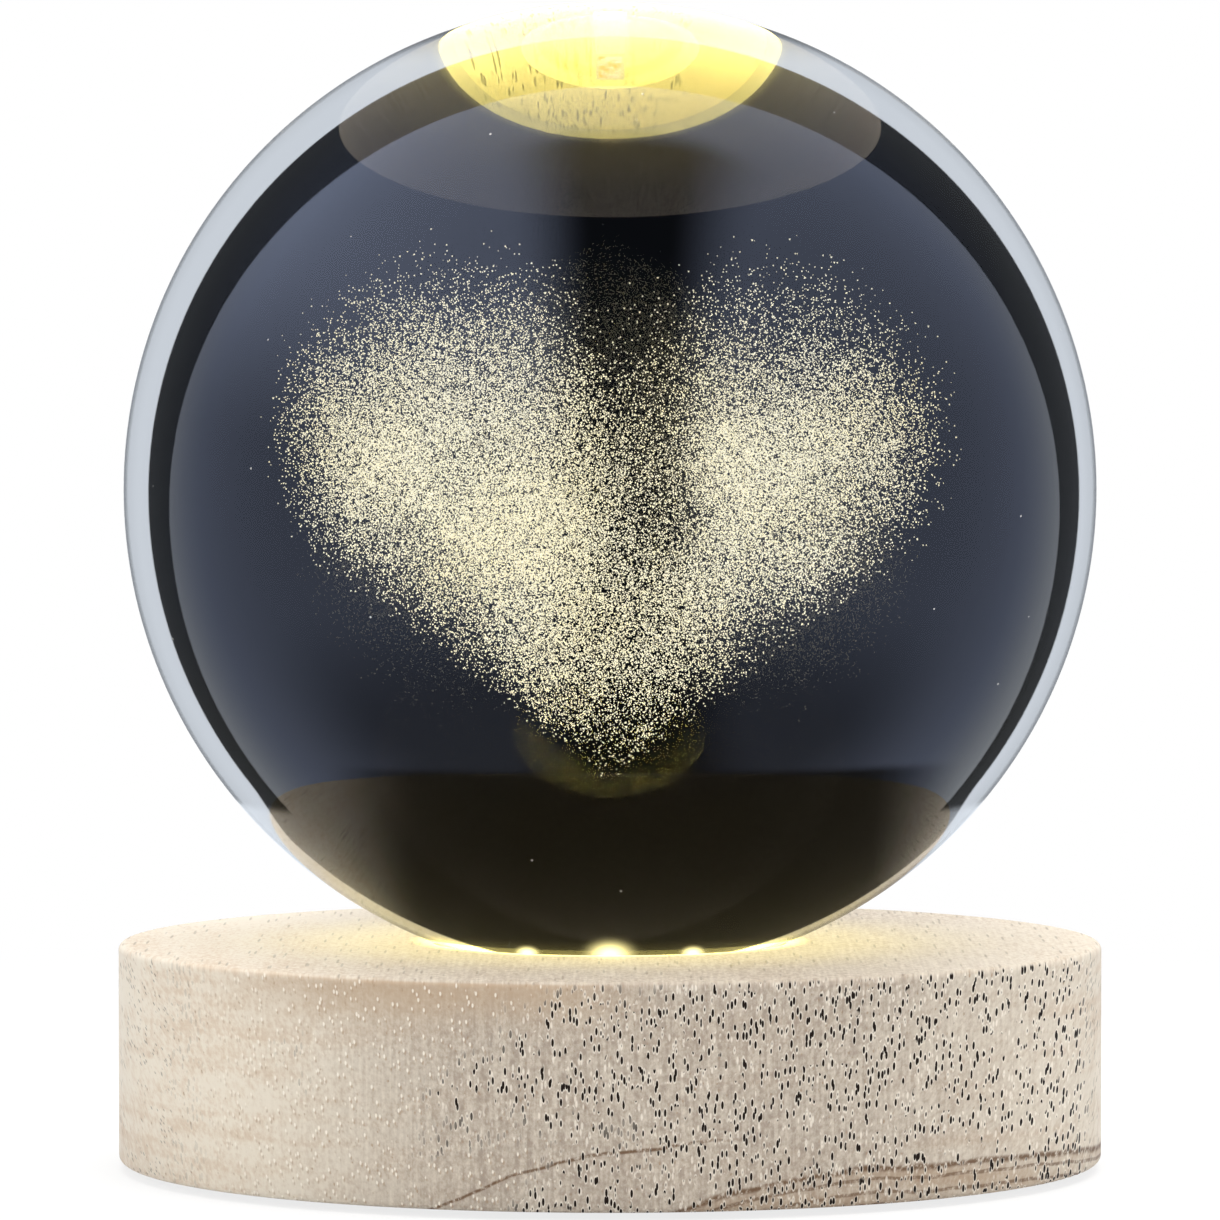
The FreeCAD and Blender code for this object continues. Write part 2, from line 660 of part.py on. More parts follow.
def rear_plate():
    """The plate let into the rear of the base, with the openings of the socket and the button."""
    piece = Piece("rear_plate")
    face = piece.sketch("face", "XZ_Plane", -plate_back)
    stadium(face, NIL, port_axis, plate_half_length, plate_half_height)
    stadium(face, -s.socket_offset, port_axis, s.socket_width / 2 + s.socket_gap,
            s.socket_height / 2 + s.socket_gap)
    circle(face, s.button_offset, port_axis, plate_hole_radius)
    piece.feature("Pad", "plate", face, Length=s.plate_thickness, Reversed=True)


def switch_case():
    """The case of the push switch, with the bore of its plunger."""
    piece = Piece("switch_case")
    half = s.switch_width / 2
    plan = piece.sketch("plan", "XY_Plane", power_board_top)
    rectangle(plan, s.button_offset - half, s.button_offset + half, switch_back, switch_front)
    piece.feature("Pad", "case", plan, Length=s.socket_height)
    bore = piece.sketch("bore", "XZ_Plane", -plunger_bore_end)
    circle(bore, s.button_offset, port_axis, plunger_radius + s.plunger_gap)
    piece.feature("Pocket", "bore_cut", bore, Length=switch_front - plunger_bore_end)


def switch_plunger():
    """The plunger that the button pushes into the switch."""
    piece = Piece("switch_plunger")
    end = piece.sketch("end", "XZ_Plane", -plunger_end)
    circle(end, s.button_offset, port_axis, plunger_radius)
    piece.feature("Pad", "rod", end, Length=plunger_tip - plunger_end, Reversed=True)


def push_button():
    """The button: a cap through the rear plate, a flange behind it and a hollow stem on the plunger."""
    piece = Piece("push_button")
    x = s.button_offset
    profile = piece.sketch("profile", "XY_Plane", port_axis)
    outline(profile, [
        (x, button_face),
        (x + button_radius - s.button_crown, button_face),
        (x + button_radius, button_face - s.button_crown),
        (x + button_radius, flange_front),
        (x + flange_radius, flange_front),
        (x + flange_radius, flange_back),
        (x + stem_radius, flange_back),
        (x + stem_radius, stem_end),
        (x + plunger_radius, stem_end),
        (x + plunger_radius, plunger_tip),
        (x, plunger_tip),
    ])
    axis_line(profile, (x, plunger_tip), (x, button_face))
    piece.turned("button", profile)


def resistors():
    """The resistors that set the current of the diodes."""
    piece = Piece("resistors")
    half_length = s.resistor_length / 2
    start = -part_slot_half + s.resistor_width
    plan = piece.sketch("plan", "XY_Plane", power_board_top)
    rectangle(plan, start, start + s.resistor_width, part_row - half_length, part_row + half_length)
    chip = piece.feature("Pad", "chip", plan, Length=s.resistor_height)
    row = piece.body.newObject("PartDesign::LinearPattern", "row")
    row.Originals = [chip]
    row.Direction = (piece.origin("X_Axis"), [""])
    piece.settle(row, {"Mode": "Spacing", "Offset": s.resistor_pitch, "Occurrences": s.resistor_count})


def wire(label, x):
    """A wire from the light board down into the bay and onto the power board."""
    piece = Piece(label)
    upper, lower = wire_upper_bend, s.wire_lower_bend
    route = piece.sketch("route", "YZ_Plane", x)
    ends = [
        (wire_top_y, light_board_back), (wire_top_y, wire_run + upper),
        (wire_top_y + upper, wire_run), (part_row - lower, wire_run),
        (part_row, wire_run - lower), (part_row, power_board_top),
    ]
    for start, end in (ends[0:2], ends[2:4], ends[4:6]):
        line = route.addGeometry(Part.LineSegment(point(*start), point(*end)), False)
        at(route, line, 1, *start)
        at(route, line, 2, *end)
    bends = (
        (0, 1, upper, point(wire_top_y + upper, wire_run + upper), math.pi, 1.5 * math.pi, 1, 2),
        (1, 2, lower, point(part_row - lower, wire_run - lower), 0.0, 0.5 * math.pi, 2, 1),
    )
    up = FreeCAD.Vector(0, 0, 1)
    for before, after, radius, centre, low, high, start_end, finish_end in bends:
        arc = Part.ArcOfCircle(Part.Circle(centre, up, radius.value), low, high)
        bend = route.addGeometry(arc, False)
        route.addConstraint(Sketcher.Constraint("Coincident", before, 2, bend, start_end))
        route.addConstraint(Sketcher.Constraint("Coincident", after, 1, bend, finish_end))
        measured(route, "Radius", bend, radius)
    end_face = piece.sketch("end_face", "XY_Plane", light_board_back)
    circle(end_face, x, wire_top_y, s.wire_diameter / 2)
    doc.recompute()
    piece.feature("AdditivePipe", "insulation", end_face, Spine=(route, []))


def bottom_cover():
    """The cover that closes the bay, with countersunk screw holes and the recesses of the feet."""
    piece = Piece("bottom_cover")
    disc = piece.sketch("disc", "XY_Plane", underside)
    circle(disc, NIL, NIL, cover_radius)
    piece.feature("Pad", "cover", disc, Length=s.cover_thickness)
    sinks = piece.sketch("sinks", "YZ_Plane")
    cover_screw_profile(sinks, s.screw_play, cover_seat)
    sink = piece.feature("Groove", "sinks_cut", sinks, ReferenceAxis=(sinks, ["Axis0"]), Angle=FULL_TURN)
    piece.around([sink], s.cover_screw_count)
    recess = piece.sketch("foot_recess", "XY_Plane", underside)
    foot_place = foot_circle_radius / Size.of(2).root()
    circle(recess, foot_place, -foot_place, foot_radius + s.foot_gap)
    cut = piece.feature("Pocket", "foot_recess_cut", recess, Length=s.foot_sink, Reversed=True)
    piece.around([cut], s.foot_count)


def cover_screw_profile(drawing, play, end):
    """Half of a countersunk screw at the front of the cover, larger all round by the play."""
    axis = -cover_screw_radius
    head = axis + s.cover_head / 2 + play
    shank = axis + s.cover_shank / 2 + play
    neck = underside + s.cover_head_height
    outline(drawing, [(axis, underside), (head, underside), (shank, neck), (shank, end), (axis, end)])
    axis_line(drawing, (axis, underside), (axis, end))


def cover_screws():
    """The countersunk screws of the cover."""
    piece = Piece("cover_screws")
    profile = piece.sketch("profile", "YZ_Plane")
    cover_screw_profile(profile, NIL, cover_seat + s.cover_grip)
    screw = piece.turned("screw", profile)
    piece.around([screw], s.cover_screw_count)


def rubber_feet():
    """The feet, let into the cover."""
    piece = Piece("rubber_feet")
    foot_place = foot_circle_radius / Size.of(2).root()
    sole = piece.sketch("sole", "XY_Plane")
    circle(sole, foot_place, -foot_place, foot_radius)
    foot = piece.feature("Pad", "foot", sole, Length=foot_top)
    piece.around([foot], s.foot_count)


crystal_ball(engraved_heart())
wooden_base()
light_board()
led_packages()
led_windows()
light_board_screws()
power_board()
power_board_screws()
socket_shell()
socket_tongue()
rear_plate()
switch_case()
switch_plunger()
push_button()
resistors()
wire("wire_positive", s.wire_spacing / 2)
wire("wire_negative", -s.wire_spacing / 2)
bottom_cover()
cover_screws()
rubber_feet()
doc.recompute()

for item in doc.Objects:
    if "Invalid" in item.State or "Error" in item.State:
        raise RuntimeError(f"{item.Label}: {item.State}")

os.makedirs(OUTPUT, exist_ok=True)
for piece_object in Piece.made:
    shape = piece_object.Shape
    if shape.isNull() or not shape.isValid() or not shape.Solids:
        raise RuntimeError(f"{piece_object.Label} has no valid solid")
    shape.exportStep(f"{OUTPUT}/{piece_object.Label}.step")
    print(f"{piece_object.Label}: {len(shape.Solids)} solid(s), {shape.Volume:.2f} mm3")
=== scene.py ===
"""Looks of the crystal ball lamp: a glass ball with a heart of fine points, loose on a lit wooden base.

Lengths are in metres in the part's own frame: +Z up, the front at -Y, the floor at z = 0.
"""

import json
import logging
import math
from dataclasses import dataclass
from enum import Enum
from typing import Any, Optional, Sequence, Union

import bmesh
import bpy
from mathutils import Euler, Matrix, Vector


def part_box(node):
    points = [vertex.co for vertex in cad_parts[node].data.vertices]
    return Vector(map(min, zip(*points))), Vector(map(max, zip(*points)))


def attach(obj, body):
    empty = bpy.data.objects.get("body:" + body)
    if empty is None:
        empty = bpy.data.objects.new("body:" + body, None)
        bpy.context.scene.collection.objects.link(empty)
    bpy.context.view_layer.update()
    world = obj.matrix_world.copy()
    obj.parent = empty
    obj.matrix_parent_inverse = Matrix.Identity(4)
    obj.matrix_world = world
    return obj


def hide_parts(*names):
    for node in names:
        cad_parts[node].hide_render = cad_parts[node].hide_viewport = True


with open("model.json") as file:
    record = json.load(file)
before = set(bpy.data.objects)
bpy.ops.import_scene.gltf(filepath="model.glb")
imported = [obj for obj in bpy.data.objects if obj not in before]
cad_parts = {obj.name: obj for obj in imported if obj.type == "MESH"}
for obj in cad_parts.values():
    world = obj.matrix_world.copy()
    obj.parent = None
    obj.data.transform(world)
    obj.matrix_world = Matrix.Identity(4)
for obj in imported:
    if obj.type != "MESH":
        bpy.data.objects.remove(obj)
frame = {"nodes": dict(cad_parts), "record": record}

MM = 0.001
LOG = logging.getLogger("crystal_ball_lamp")

Colour = tuple[float, float, float]
Triple = tuple[float, float, float]
Span = tuple[float, float]
Number = Union["Value", float, int]
Inputs = dict[Union[str, int], Any]
Socket = bpy.types.NodeSocket
Material = bpy.types.Material
Materials = dict[str, Material]
Piece = bpy.types.Object

BLACK: Colour = (0.0, 0.0, 0.0)
WHITE: Colour = (1.0, 1.0, 1.0)


class Body(Enum):
    """The bodies of the part that a piece can ride on."""

    BASE = "base"
    BALL = "ball"
    BUTTON = "button"


class Way(Enum):
    """The ways that a ray can arrive, each an output of the Light Path node."""

    CAMERA = "Is Camera Ray"
    GLOSSY = "Is Glossy Ray"
    TRANSMISSION = "Is Transmission Ray"


class Value:
    """A number that varies over a surface or a set of points: an output socket with Python's operators."""

    def __init__(self, tree: "Tree", socket: Socket) -> None:
        """Keeps the socket and the tree that it belongs to."""
        self.tree = tree
        self.socket = socket

    def __add__(self, other: Number) -> "Value":
        """The sum."""
        return self.tree.math("ADD", self, other)

    def __sub__(self, other: Number) -> "Value":
        """The difference."""
        return self.tree.math("SUBTRACT", self, other)

    def __mul__(self, other: Number) -> "Value":
        """The product."""
        return self.tree.math("MULTIPLY", self, other)

    def __truediv__(self, other: Number) -> "Value":
        """The quotient."""
        return self.tree.math("DIVIDE", self, other)

    def __pow__(self, other: Number) -> "Value":
        """The power."""
        return self.tree.math("POWER", self, other)

    def __rsub__(self, other: Number) -> "Value":
        """A number less this value."""
        return self.tree.math("SUBTRACT", other, self)

    __radd__ = __add__
    __rmul__ = __mul__

    def absolute(self) -> "Value":
        """The value without its sign."""
        return self.tree.math("ABSOLUTE", self)

    def root(self) -> "Value":
        """The square root."""
        return self.tree.math("SQRT", self)

    def sine(self) -> "Value":
        """The sine of the value in radians."""
        return self.tree.math("SINE", self)

    def least(self, other: Number) -> "Value":
        """The smaller of two values."""
        return self.tree.math("MINIMUM", self, other)

    def most(self, other: Number) -> "Value":
        """The larger of two values."""
        return self.tree.math("MAXIMUM", self, other)

    def over(self, other: Number) -> "Value":
        """One where the value is greater than the other, and zero elsewhere."""
        return self.tree.math("GREATER_THAN", self, other)

    def rise(self, low: Number, high: Number) -> "Value":
        """A smooth step.

        Args:
            low: where the step leaves zero.
            high: where it reaches one; below low, the step falls instead.

        Returns:
            The height of the step at this value, from zero to one.
        """
        settings = {"interpolation_type": "SMOOTHSTEP"}
        inputs = {"Value": self, "From Min": low, "From Max": high}
        return Value(self.tree, self.tree.node("ShaderNodeMapRange", settings, inputs).outputs["Result"])


class Tree:
    """A node tree, with one method that makes any node and the arithmetic on its values."""

    def __init__(self, nodes: bpy.types.NodeTree) -> None:
        """Starts from an empty node tree."""
        self.nodes = nodes
        nodes.nodes.clear()

    def node(self, kind: str, settings: Optional[dict[str, Any]] = None,
             inputs: Optional[Inputs] = None) -> bpy.types.Node:
        """Adds a node.

        Args:
            kind: the node's type.
            settings: its properties, set before its sockets.
            inputs: a number, colour, vector, value or socket for each named or numbered input.

        Returns:
            The new node.
        """
        made = self.nodes.nodes.new(kind)
        for key, setting in (settings or {}).items():
            setattr(made, key, setting)
        for key, source in (inputs or {}).items():
            source = source.socket if isinstance(source, Value) else source
            if isinstance(source, Socket):
                self.nodes.links.new(source, made.inputs[key])
            else:
                made.inputs[key].default_value = source
        return made

    def out(self, kind: str, inputs: Optional[Inputs] = None) -> Socket:
        """Adds a node with its usual settings and returns its first output."""
        return self.node(kind, None, inputs).outputs[0]

    def math(self, operation: str, *operands: Number) -> Value:
        """Adds a Math node on values and numbers."""
        made = self.node("ShaderNodeMath", {"operation": operation}, dict(enumerate(operands)))
        return Value(self, made.outputs[0])

    def vector_math(self, operation: str, first: Any, second: Any) -> Socket:
        """Adds a Vector Math node on two vectors."""
        made = self.node("ShaderNodeVectorMath", {"operation": operation}, {0: first, 1: second})
        return made.outputs[0]

    def axes(self, vector: Socket) -> tuple[Value, Value, Value]:
        """The three parts of a vector."""
        parts = self.node("ShaderNodeSeparateXYZ", None, {0: vector}).outputs
        return Value(self, parts[0]), Value(self, parts[1]), Value(self, parts[2])

    def noise(self, vector: Socket, detail: float = 2.0, roughness: float = 0.5) -> Value:
        """Soft noise, one cell to a unit of the vector, about 0.5."""
        inputs = {"Vector": vector, "Scale": 1.0, "Detail": detail, "Roughness": roughness}
        return Value(self, self.out("ShaderNodeTexNoise", inputs))

    def mix_shaders(self, factor: Number, first: Socket, second: Socket) -> Socket:
        """A shader between two shaders."""
        return self.out("ShaderNodeMixShader", {0: factor, 1: first, 2: second})


class Shader(Tree):
    """The node tree of a material, painted in millimetres on the piece's own coordinates."""

    def __init__(self, name: str) -> None:
        """Starts an empty material.

        Args:
            name: the material's name.
        """
        self.material = bpy.data.materials.new(name)
        self.material.use_nodes = True
        super().__init__(self.material.node_tree)

    def cells(self, size: Triple, offset: Triple = (0.0, 0.0, 0.0), tilt: float = 0.0) -> Socket:
        """Object coordinates divided into cells.

        Args:
            size: the cell along X, Y and Z in millimetres.
            offset: the shift in cells.
            tilt: how far the cell's Y rises towards the rear, in radians.

        Returns:
            A vector with one unit to a cell.
        """
        here = self.node("ShaderNodeTexCoord").outputs["Object"]
        if tilt:
            here = self.out("ShaderNodeMapping", {"Vector": here, "Rotation": (-tilt, 0.0, 0.0)})
        scale = tuple(1.0 / (edge * MM) for edge in size)
        return self.out("ShaderNodeMapping", {"Vector": here, "Scale": scale, "Location": offset})

    def place(self) -> tuple[Value, Value, Value]:
        """X, Y and Z on the piece in millimetres."""
        return self.axes(self.cells((1.0, 1.0, 1.0)))

    def clouds(self, size: Triple, detail: float = 2.0) -> Value:
        """Soft noise in cells of that size in millimetres."""
        return self.noise(self.cells(size), detail)

    def spots(self, vector: Socket, core: float, edge: float) -> Value:
        """One spot to a cell, at a random place.

        Args:
            vector: the cells.
            core: the radius, in cells, up to which a spot is full.
            edge: the radius where it has faded out.

        Returns:
            One on a spot and zero off it.
        """
        made = self.node("ShaderNodeTexVoronoi", {"feature": "F1"}, {"Vector": vector, "Scale": 1.0})
        return Value(self, made.outputs["Distance"]).rise(edge, core)

    def mix(self, factor: Number, first: Any, second: Any) -> Socket:
        """A colour between two colours.

        Args:
            factor: zero for the first colour, one for the second.
            first: a plain colour or a socket.
            second: a plain colour or a socket.

        Returns:
            The socket of the mixed colour.
        """
        inputs = {0: factor, 6: opaque(first), 7: opaque(second)}
        return self.node("ShaderNodeMix", {"data_type": "RGBA"}, inputs).outputs[2]

    def dimmed(self, share: Number, light: Any) -> Socket:
        """A light's colour at a share of its strength."""
        return self.mix(share, BLACK, light)

    def bump(self, height: Value, depth: float) -> Socket:
        """A normal that follows a height.

        Args:
            height: the relief, about zero to one.
            depth: the depth of a relief of one, in millimetres.

        Returns:
            The socket for a shader's Normal.
        """
        return self.out("ShaderNodeBump", {"Strength": 1.0, "Distance": depth * MM, "Height": height})

    def principled(self, **inputs: Any) -> Socket:
        """A Principled shader.

        Args:
            inputs: what goes into each socket, with underscores for the spaces in its name.

        Returns:
            The shader's socket.
        """
        named = {key.replace("_", " "): opaque(value) for key, value in inputs.items()}
        return self.out("ShaderNodeBsdfPrincipled", named)

    def glowing(self, colour: Colour, strength: float) -> Socket:
        """A shader that only gives off light."""
        return self.out("ShaderNodeEmission", {"Color": opaque(colour), "Strength": strength})

    def exposed(self, direct: float) -> Value:
        """How strongly a lit surface shows: full in the mirror of the glass, and dimmer without one.

        Args:
            direct: the share of its light that is left where no mirror lies between.

        Returns:
            The share of the light for the ray that arrives.
        """
        mirrors = Value(self, self.node("ShaderNodeLightPath").outputs["Glossy Depth"])
        return mirrors.least(1.0) * (1.0 - direct) + direct

    def finish(self, surface: Socket) -> Material:
        """Joins the surface to the material's output and returns the material."""
        self.node("ShaderNodeOutputMaterial", None, {"Surface": surface})
        return self.material


def opaque(value: Any) -> Any:
    """A plain colour with its alpha of one, and anything else as it is."""
    return (*value, 1.0) if isinstance(value, tuple) and len(value) == 3 else value


@dataclass(frozen=True)
class Moulding:
    """A moulded plastic or rubber: a fine spark-eroded grain and a slightly uneven colour."""

    name: str
    colour: Colour
    worn: Colour
    roughness: float
    grain: float = 0.25
    depth: float = 0.01
    # lit, glow and direct paint light into the surface; only the white diode packages use them.
    lit: Colour = (1.0, 0.88, 0.30)
    glow: float = 0.0
    direct: float = 0.03
    mottle_cell: float = 6.0

    def material(self) -> Material:
        """Mottled colour, roughness that follows it, grain in the relief and, where there is a glow,
        painted light.

        Returns:
            The material.
        """
        shader = Shader(self.name)
        mottle = shader.clouds((self.mottle_cell,) * 3, 4.0)
        grain = shader.clouds((self.grain,) * 3)
        colour = shader.mix(mottle.rise(0.35, 0.8) * 0.7 + grain * 0.3, self.colour, self.worn)
        # Painted light, where the moulding has a glow.
        light = shader.dimmed(shader.exposed(self.direct), self.lit) if self.glow else self.lit
        return shader.finish(shader.principled(
            Base_Color=colour,
            Roughness=self.roughness + (mottle - 0.5) * 0.16 + (grain - 0.5) * 0.1,
            Normal=shader.bump(grain, self.depth),
            Emission_Color=light,
            Emission_Strength=self.glow,
        ))


@dataclass(frozen=True)
class Metal:
    """A plated or drawn metal: fine drawing lines along one axis and cloudy brightness."""

    name: str
    colour: Colour
    dull: Colour
    roughness: float
    lines: Triple = (0.15, 4.0, 0.15)
    cloud: float = 2.2
    depth: float = 0.004

    def material(self) -> Material:
        """Lines in the relief and the roughness, clouds in the colour.

        Returns:
            The material.
        """
        shader = Shader(self.name)
        lines = shader.clouds(self.lines, 3.0)
        clouds = shader.clouds((self.cloud,) * 3, 3.0)
        return shader.finish(shader.principled(
            Base_Color=shader.mix(clouds.rise(0.4, 0.75), self.colour, self.dull),
            Metallic=1.0,
            Roughness=self.roughness + (lines - 0.5) * 0.22 + (clouds - 0.5) * 0.1,
            Normal=shader.bump(lines, self.depth),
        ))


@dataclass(frozen=True)
class Scatter:
    """One spot to a cell: the cell in millimetres, the spot's radii in cells, the shift and the lean."""

    cell: Triple
    core: float
    edge: float
    offset: Triple = (0.0, 0.0, 0.0)
    tilted: bool = True


@dataclass(frozen=True)
class Grain:
    """What the figure of the wood is drawn from: the place in millimetres, the fibres and the top."""

    shader: Shader
    x: Value
    z: Value
    fibre: Value
    upper: Value


@dataclass(frozen=True)
class Marks:
    """Where the small marks of the wood lie, with the painted highlights round the pores and the painted
    shade beside the flecks: one on a mark and zero off it.
    """

    pores: Value
    fine: Value
    pore_highlights: Value
    flecks: Value
    fleck_shades: Value


@dataclass(frozen=True)
class Rubberwood:
    """Pale rubberwood, sanded and bare: the grain runs from front to back, so the front is end grain."""

    seat_radius: float
    top: float
    name: str = "rubberwood"
    pale: Colour = (0.750, 0.680, 0.570)
    warm: Colour = (0.640, 0.520, 0.400)
    grey: Colour = (0.350, 0.288, 0.233)
    amber: Colour = (0.470, 0.350, 0.240)
    brown: Colour = (0.360, 0.245, 0.150)
    ring_line: Colour = (0.150, 0.085, 0.045)
    pore: Colour = (0.016, 0.009, 0.005)
    # Pale colour of the flecks, also used for the painted highlights round the pores.
    fleck_and_highlight: Colour = (0.900, 0.840, 0.740)
    # lit, glow, direct, near_light and wide_light: the painted diode light on the hole's wall and round the
    # seat.
    lit: Colour = (1.0, 0.840, 0.230)
    glow: float = 7.5
    direct: float = 0.045
    near_light: float = 0.24
    wide_light: float = 0.054
    tilt: float = math.radians(28.0)
    thin_ring: Triple = (14.0, -58.0, 65.0)
    brown_ring: Triple = (25.0, -60.0, 64.1)
    front_left: Span = (-33.0, -8.0)
    front_right: Span = (52.0, 14.0)
    shoulder_up: Span = (13.5, 18.0)
    shoulder_left: Span = (-36.0, -16.0)
    shoulder_right: Span = (5.0, -6.0)
    line_right: Span = (13.0, 4.0)
    line_half: Span = (0.19, 0.04)
    edge_half: Span = (0.40, 0.06)
    flank_left: Span = (-31.0, -37.0)
    flank_right: Span = (37.5, 40.2)
    open_left: Span = (-36.0, -26.0)
    hole_up: Span = (11.5, 12.5)
    near_reach: Span = (2.6, 0.1)
    wide_reach: Span = (26.0, 0.5)
    ring_pitch: float = 3.4
    contour_pitch: float = 1.15
    sway_depth: float = 4.0
    relief_depth: float = 0.07
    sway_cell: Triple = (20.0, 55.0, 20.0)
    fibre_cell: Triple = (0.36, 9.0, 0.42)
    cloud_cell: Triple = (16.0, 40.0, 5.0)
    ray_cell: Triple = (0.30, 9.0, 6.0)
    band_cell: Triple = (26.0, 60.0, 0.9)
    crowd_cell: Triple = (10.0, 50.0, 7.0)
    crowd_offset: Triple = (3.0, 1.0, 7.0)
    jitter_cell: Triple = (1.3, 20.0, 1.3)
    pore_scatter: Scatter = Scatter((0.33, 6.0, 0.90), 0.28, 0.34)
    # Painted highlights: a pale ring round each pore, as if its edge caught the light.
    pore_highlight_scatter: Scatter = Scatter((0.33, 6.0, 0.90), 0.38, 0.50)
    stroke_scatter: Scatter = Scatter((0.36, 7.0, 0.30), 0.18, 0.32, (2.2, 1.6, 4.3))
    fine_scatter: Scatter = Scatter((0.45, 7.0, 0.8), 0.08, 0.22, (0.4, 0.3, 0.6))
    fleck_scatter: Scatter = Scatter((0.42, 6.0, 0.75), 0.14, 0.26, (5.2, 3.1, 2.7))
    # Painted shade: a dark spot set a little off each fleck, as if one side of it lay in shade.
    fleck_shade_scatter: Scatter = Scatter((0.42, 6.0, 0.75), 0.12, 0.28, (4.92, 3.1, 2.88))
    long_scatter: Scatter = Scatter((0.58, 9.0, 0.9), 0.10, 0.25, (1.1, 0.7, 3.4), tilted=False)

    def ring(self, grain: Grain, sway: Value, circle: Triple) -> Value:
        """How far a place lies outside a growth ring.

        Args:
            grain: what the figure is drawn from.
            sway: the unevenness of the ring.
            circle: the ring's middle across and up, and its radius.

        Returns:
            The distance in millimetres, negative inside the ring.
        """
        middle_x, middle_z, radius = circle
        return ((grain.x - middle_x) ** 2.0 + (grain.z - middle_z) ** 2.0).root() + sway - radius

    def spots(self, shader: Shader, kind: Scatter) -> Value:
        """The spots of a scatter, leant with the fibres where it follows them."""
        cells = shader.cells(kind.cell, kind.offset, self.tilt if kind.tilted else 0.0)
        return shader.spots(cells, kind.core, kind.edge)

    def ground(self, grain: Grain) -> Socket:
        """The wood without its pores: rings, clouds, a grey front that is partly painted shade, an amber
        shoulder and a brown zone.

        Args:
            grain: what the figure is drawn from.

        Returns:
            The socket of the colour.
        """
        shader, x, z, fibre = grain.shader, grain.x, grain.z, grain.fibre
        sway = (shader.clouds(self.sway_cell, 4.0) - 0.5) * self.sway_depth
        thin = self.ring(grain, sway, self.thin_ring)
        deep = self.ring(grain, sway, self.brown_ring)
        cloud = shader.clouds(self.cloud_cell, 3.0).rise(0.35, 0.72)
        wave = (thin * (2.0 * math.pi / self.ring_pitch)).sine() * 0.5 + 0.5
        rays = shader.clouds(self.ray_cell).rise(0.34, 0.70)
        bands = shader.clouds(self.band_cell, 3.0).rise(0.42, 0.70)
        tone = wave * 0.20 + (fibre - 0.5) * 3.0 + cloud * 0.50 + bands * 0.40 - rays * 0.20
        colour = shader.mix(tone.rise(0.0, 1.3), self.pale, self.warm)
        # Greyer and darker across the middle, fading to the left and right: partly the wood's own grey
        # tone, partly painted shade where the side lights reach the front less.
        front = x.rise(*self.front_left) * x.rise(*self.front_right) * (1.0 - grain.upper * 0.2)
        colour = shader.mix(front * (0.84 + (fibre - 0.5) * 1.4 - rays * 0.25), colour, self.grey)
        shoulder = (z + sway).rise(*self.shoulder_up) * x.rise(*self.shoulder_right)
        shoulder = shoulder * x.rise(*self.shoulder_left) * (1.0 - grain.upper)
        colour = shader.mix(shoulder * (0.50 + fibre * 0.6), colour, self.amber)
        zone = deep.rise(0.3, -0.3) * (0.30 + wave * 0.38)
        colour = shader.mix(zone * (0.4 + fibre * 0.6), colour, self.brown)
        line = thin.absolute().rise(*self.line_half) * x.rise(*self.line_right)
        edge = deep.absolute().rise(*self.edge_half)
        contour = (deep * (2.0 * math.pi / self.contour_pitch)).sine().rise(0.45, 0.95)
        contour = contour * deep.rise(0.2, -0.3) * 0.8
        lines = line.most(edge).most(contour) * fibre.rise(0.30, 0.55)
        return shader.mix(lines * 0.95, colour, self.ring_line)

    def marks(self, grain: Grain) -> Marks:
        """The pores with a painted highlight round each, the fine pores, and the pale flecks with a painted
        shade beside each.

        Args:
            grain: what the figure is drawn from.

        Returns:
            Where each kind of mark lies.
        """
        shader, x, upper = grain.shader, grain.x, grain.upper
        crowd = shader.noise(shader.cells(self.crowd_cell, self.crowd_offset), detail=2.0)
        crowd = (crowd + x * 0.013).rise(0.30, 0.48)
        jitter = shader.clouds(self.jitter_cell, 1.0)
        flank = x.rise(*self.flank_left).most(x.rise(*self.flank_right))
        crowded = crowd.most(flank * 0.8) * jitter.rise(0.395, 0.445) * (1.0 - upper)
        strokes = self.spots(shader, self.stroke_scatter) * jitter.rise(0.46, 0.54) * 0.6
        pores = self.spots(shader, self.pore_scatter) * (1.0 - flank) + strokes * flank
        long_pores = self.spots(shader, self.long_scatter) * upper * 0.3
        fine = self.spots(shader, self.fine_scatter) * grain.fibre.rise(0.45, 0.60)
        open_wood = (1.0 - crowd * 0.9) * x.rise(*self.open_left) * (1.0 - upper)
        return Marks(
            pores=(pores * crowded).most(long_pores),
            fine=fine * (1.0 - upper * 0.6),
            # Painted highlights round the pores.
            pore_highlights=self.spots(shader, self.pore_highlight_scatter) * crowded * (1.0 - flank),
            flecks=self.spots(shader, self.fleck_scatter) * open_wood,
            # Painted shade beside each fleck.
            fleck_shades=self.spots(shader, self.fleck_shade_scatter) * open_wood,
        )

    def material(self) -> Material:
        """The figure of the wood, its pores and flecks with their painted highlights and shade, and the
        painted light round the seat.

        Returns:
            The material.
        """
        shader = Shader(self.name)
        x, _, z = shader.place()
        fibre = shader.noise(shader.cells(self.fibre_cell, tilt=self.tilt), detail=4.0, roughness=0.65)
        grain = Grain(shader, x, z, fibre, z.rise(self.top / MM - 0.3, self.top / MM - 0.05))
        marks = self.marks(grain)
        # The fine pores and the painted shade beside the flecks turn the wood brown there.
        colour = shader.mix((marks.fine * 0.65).most(marks.fleck_shades * 0.5), self.ground(grain), self.brown)
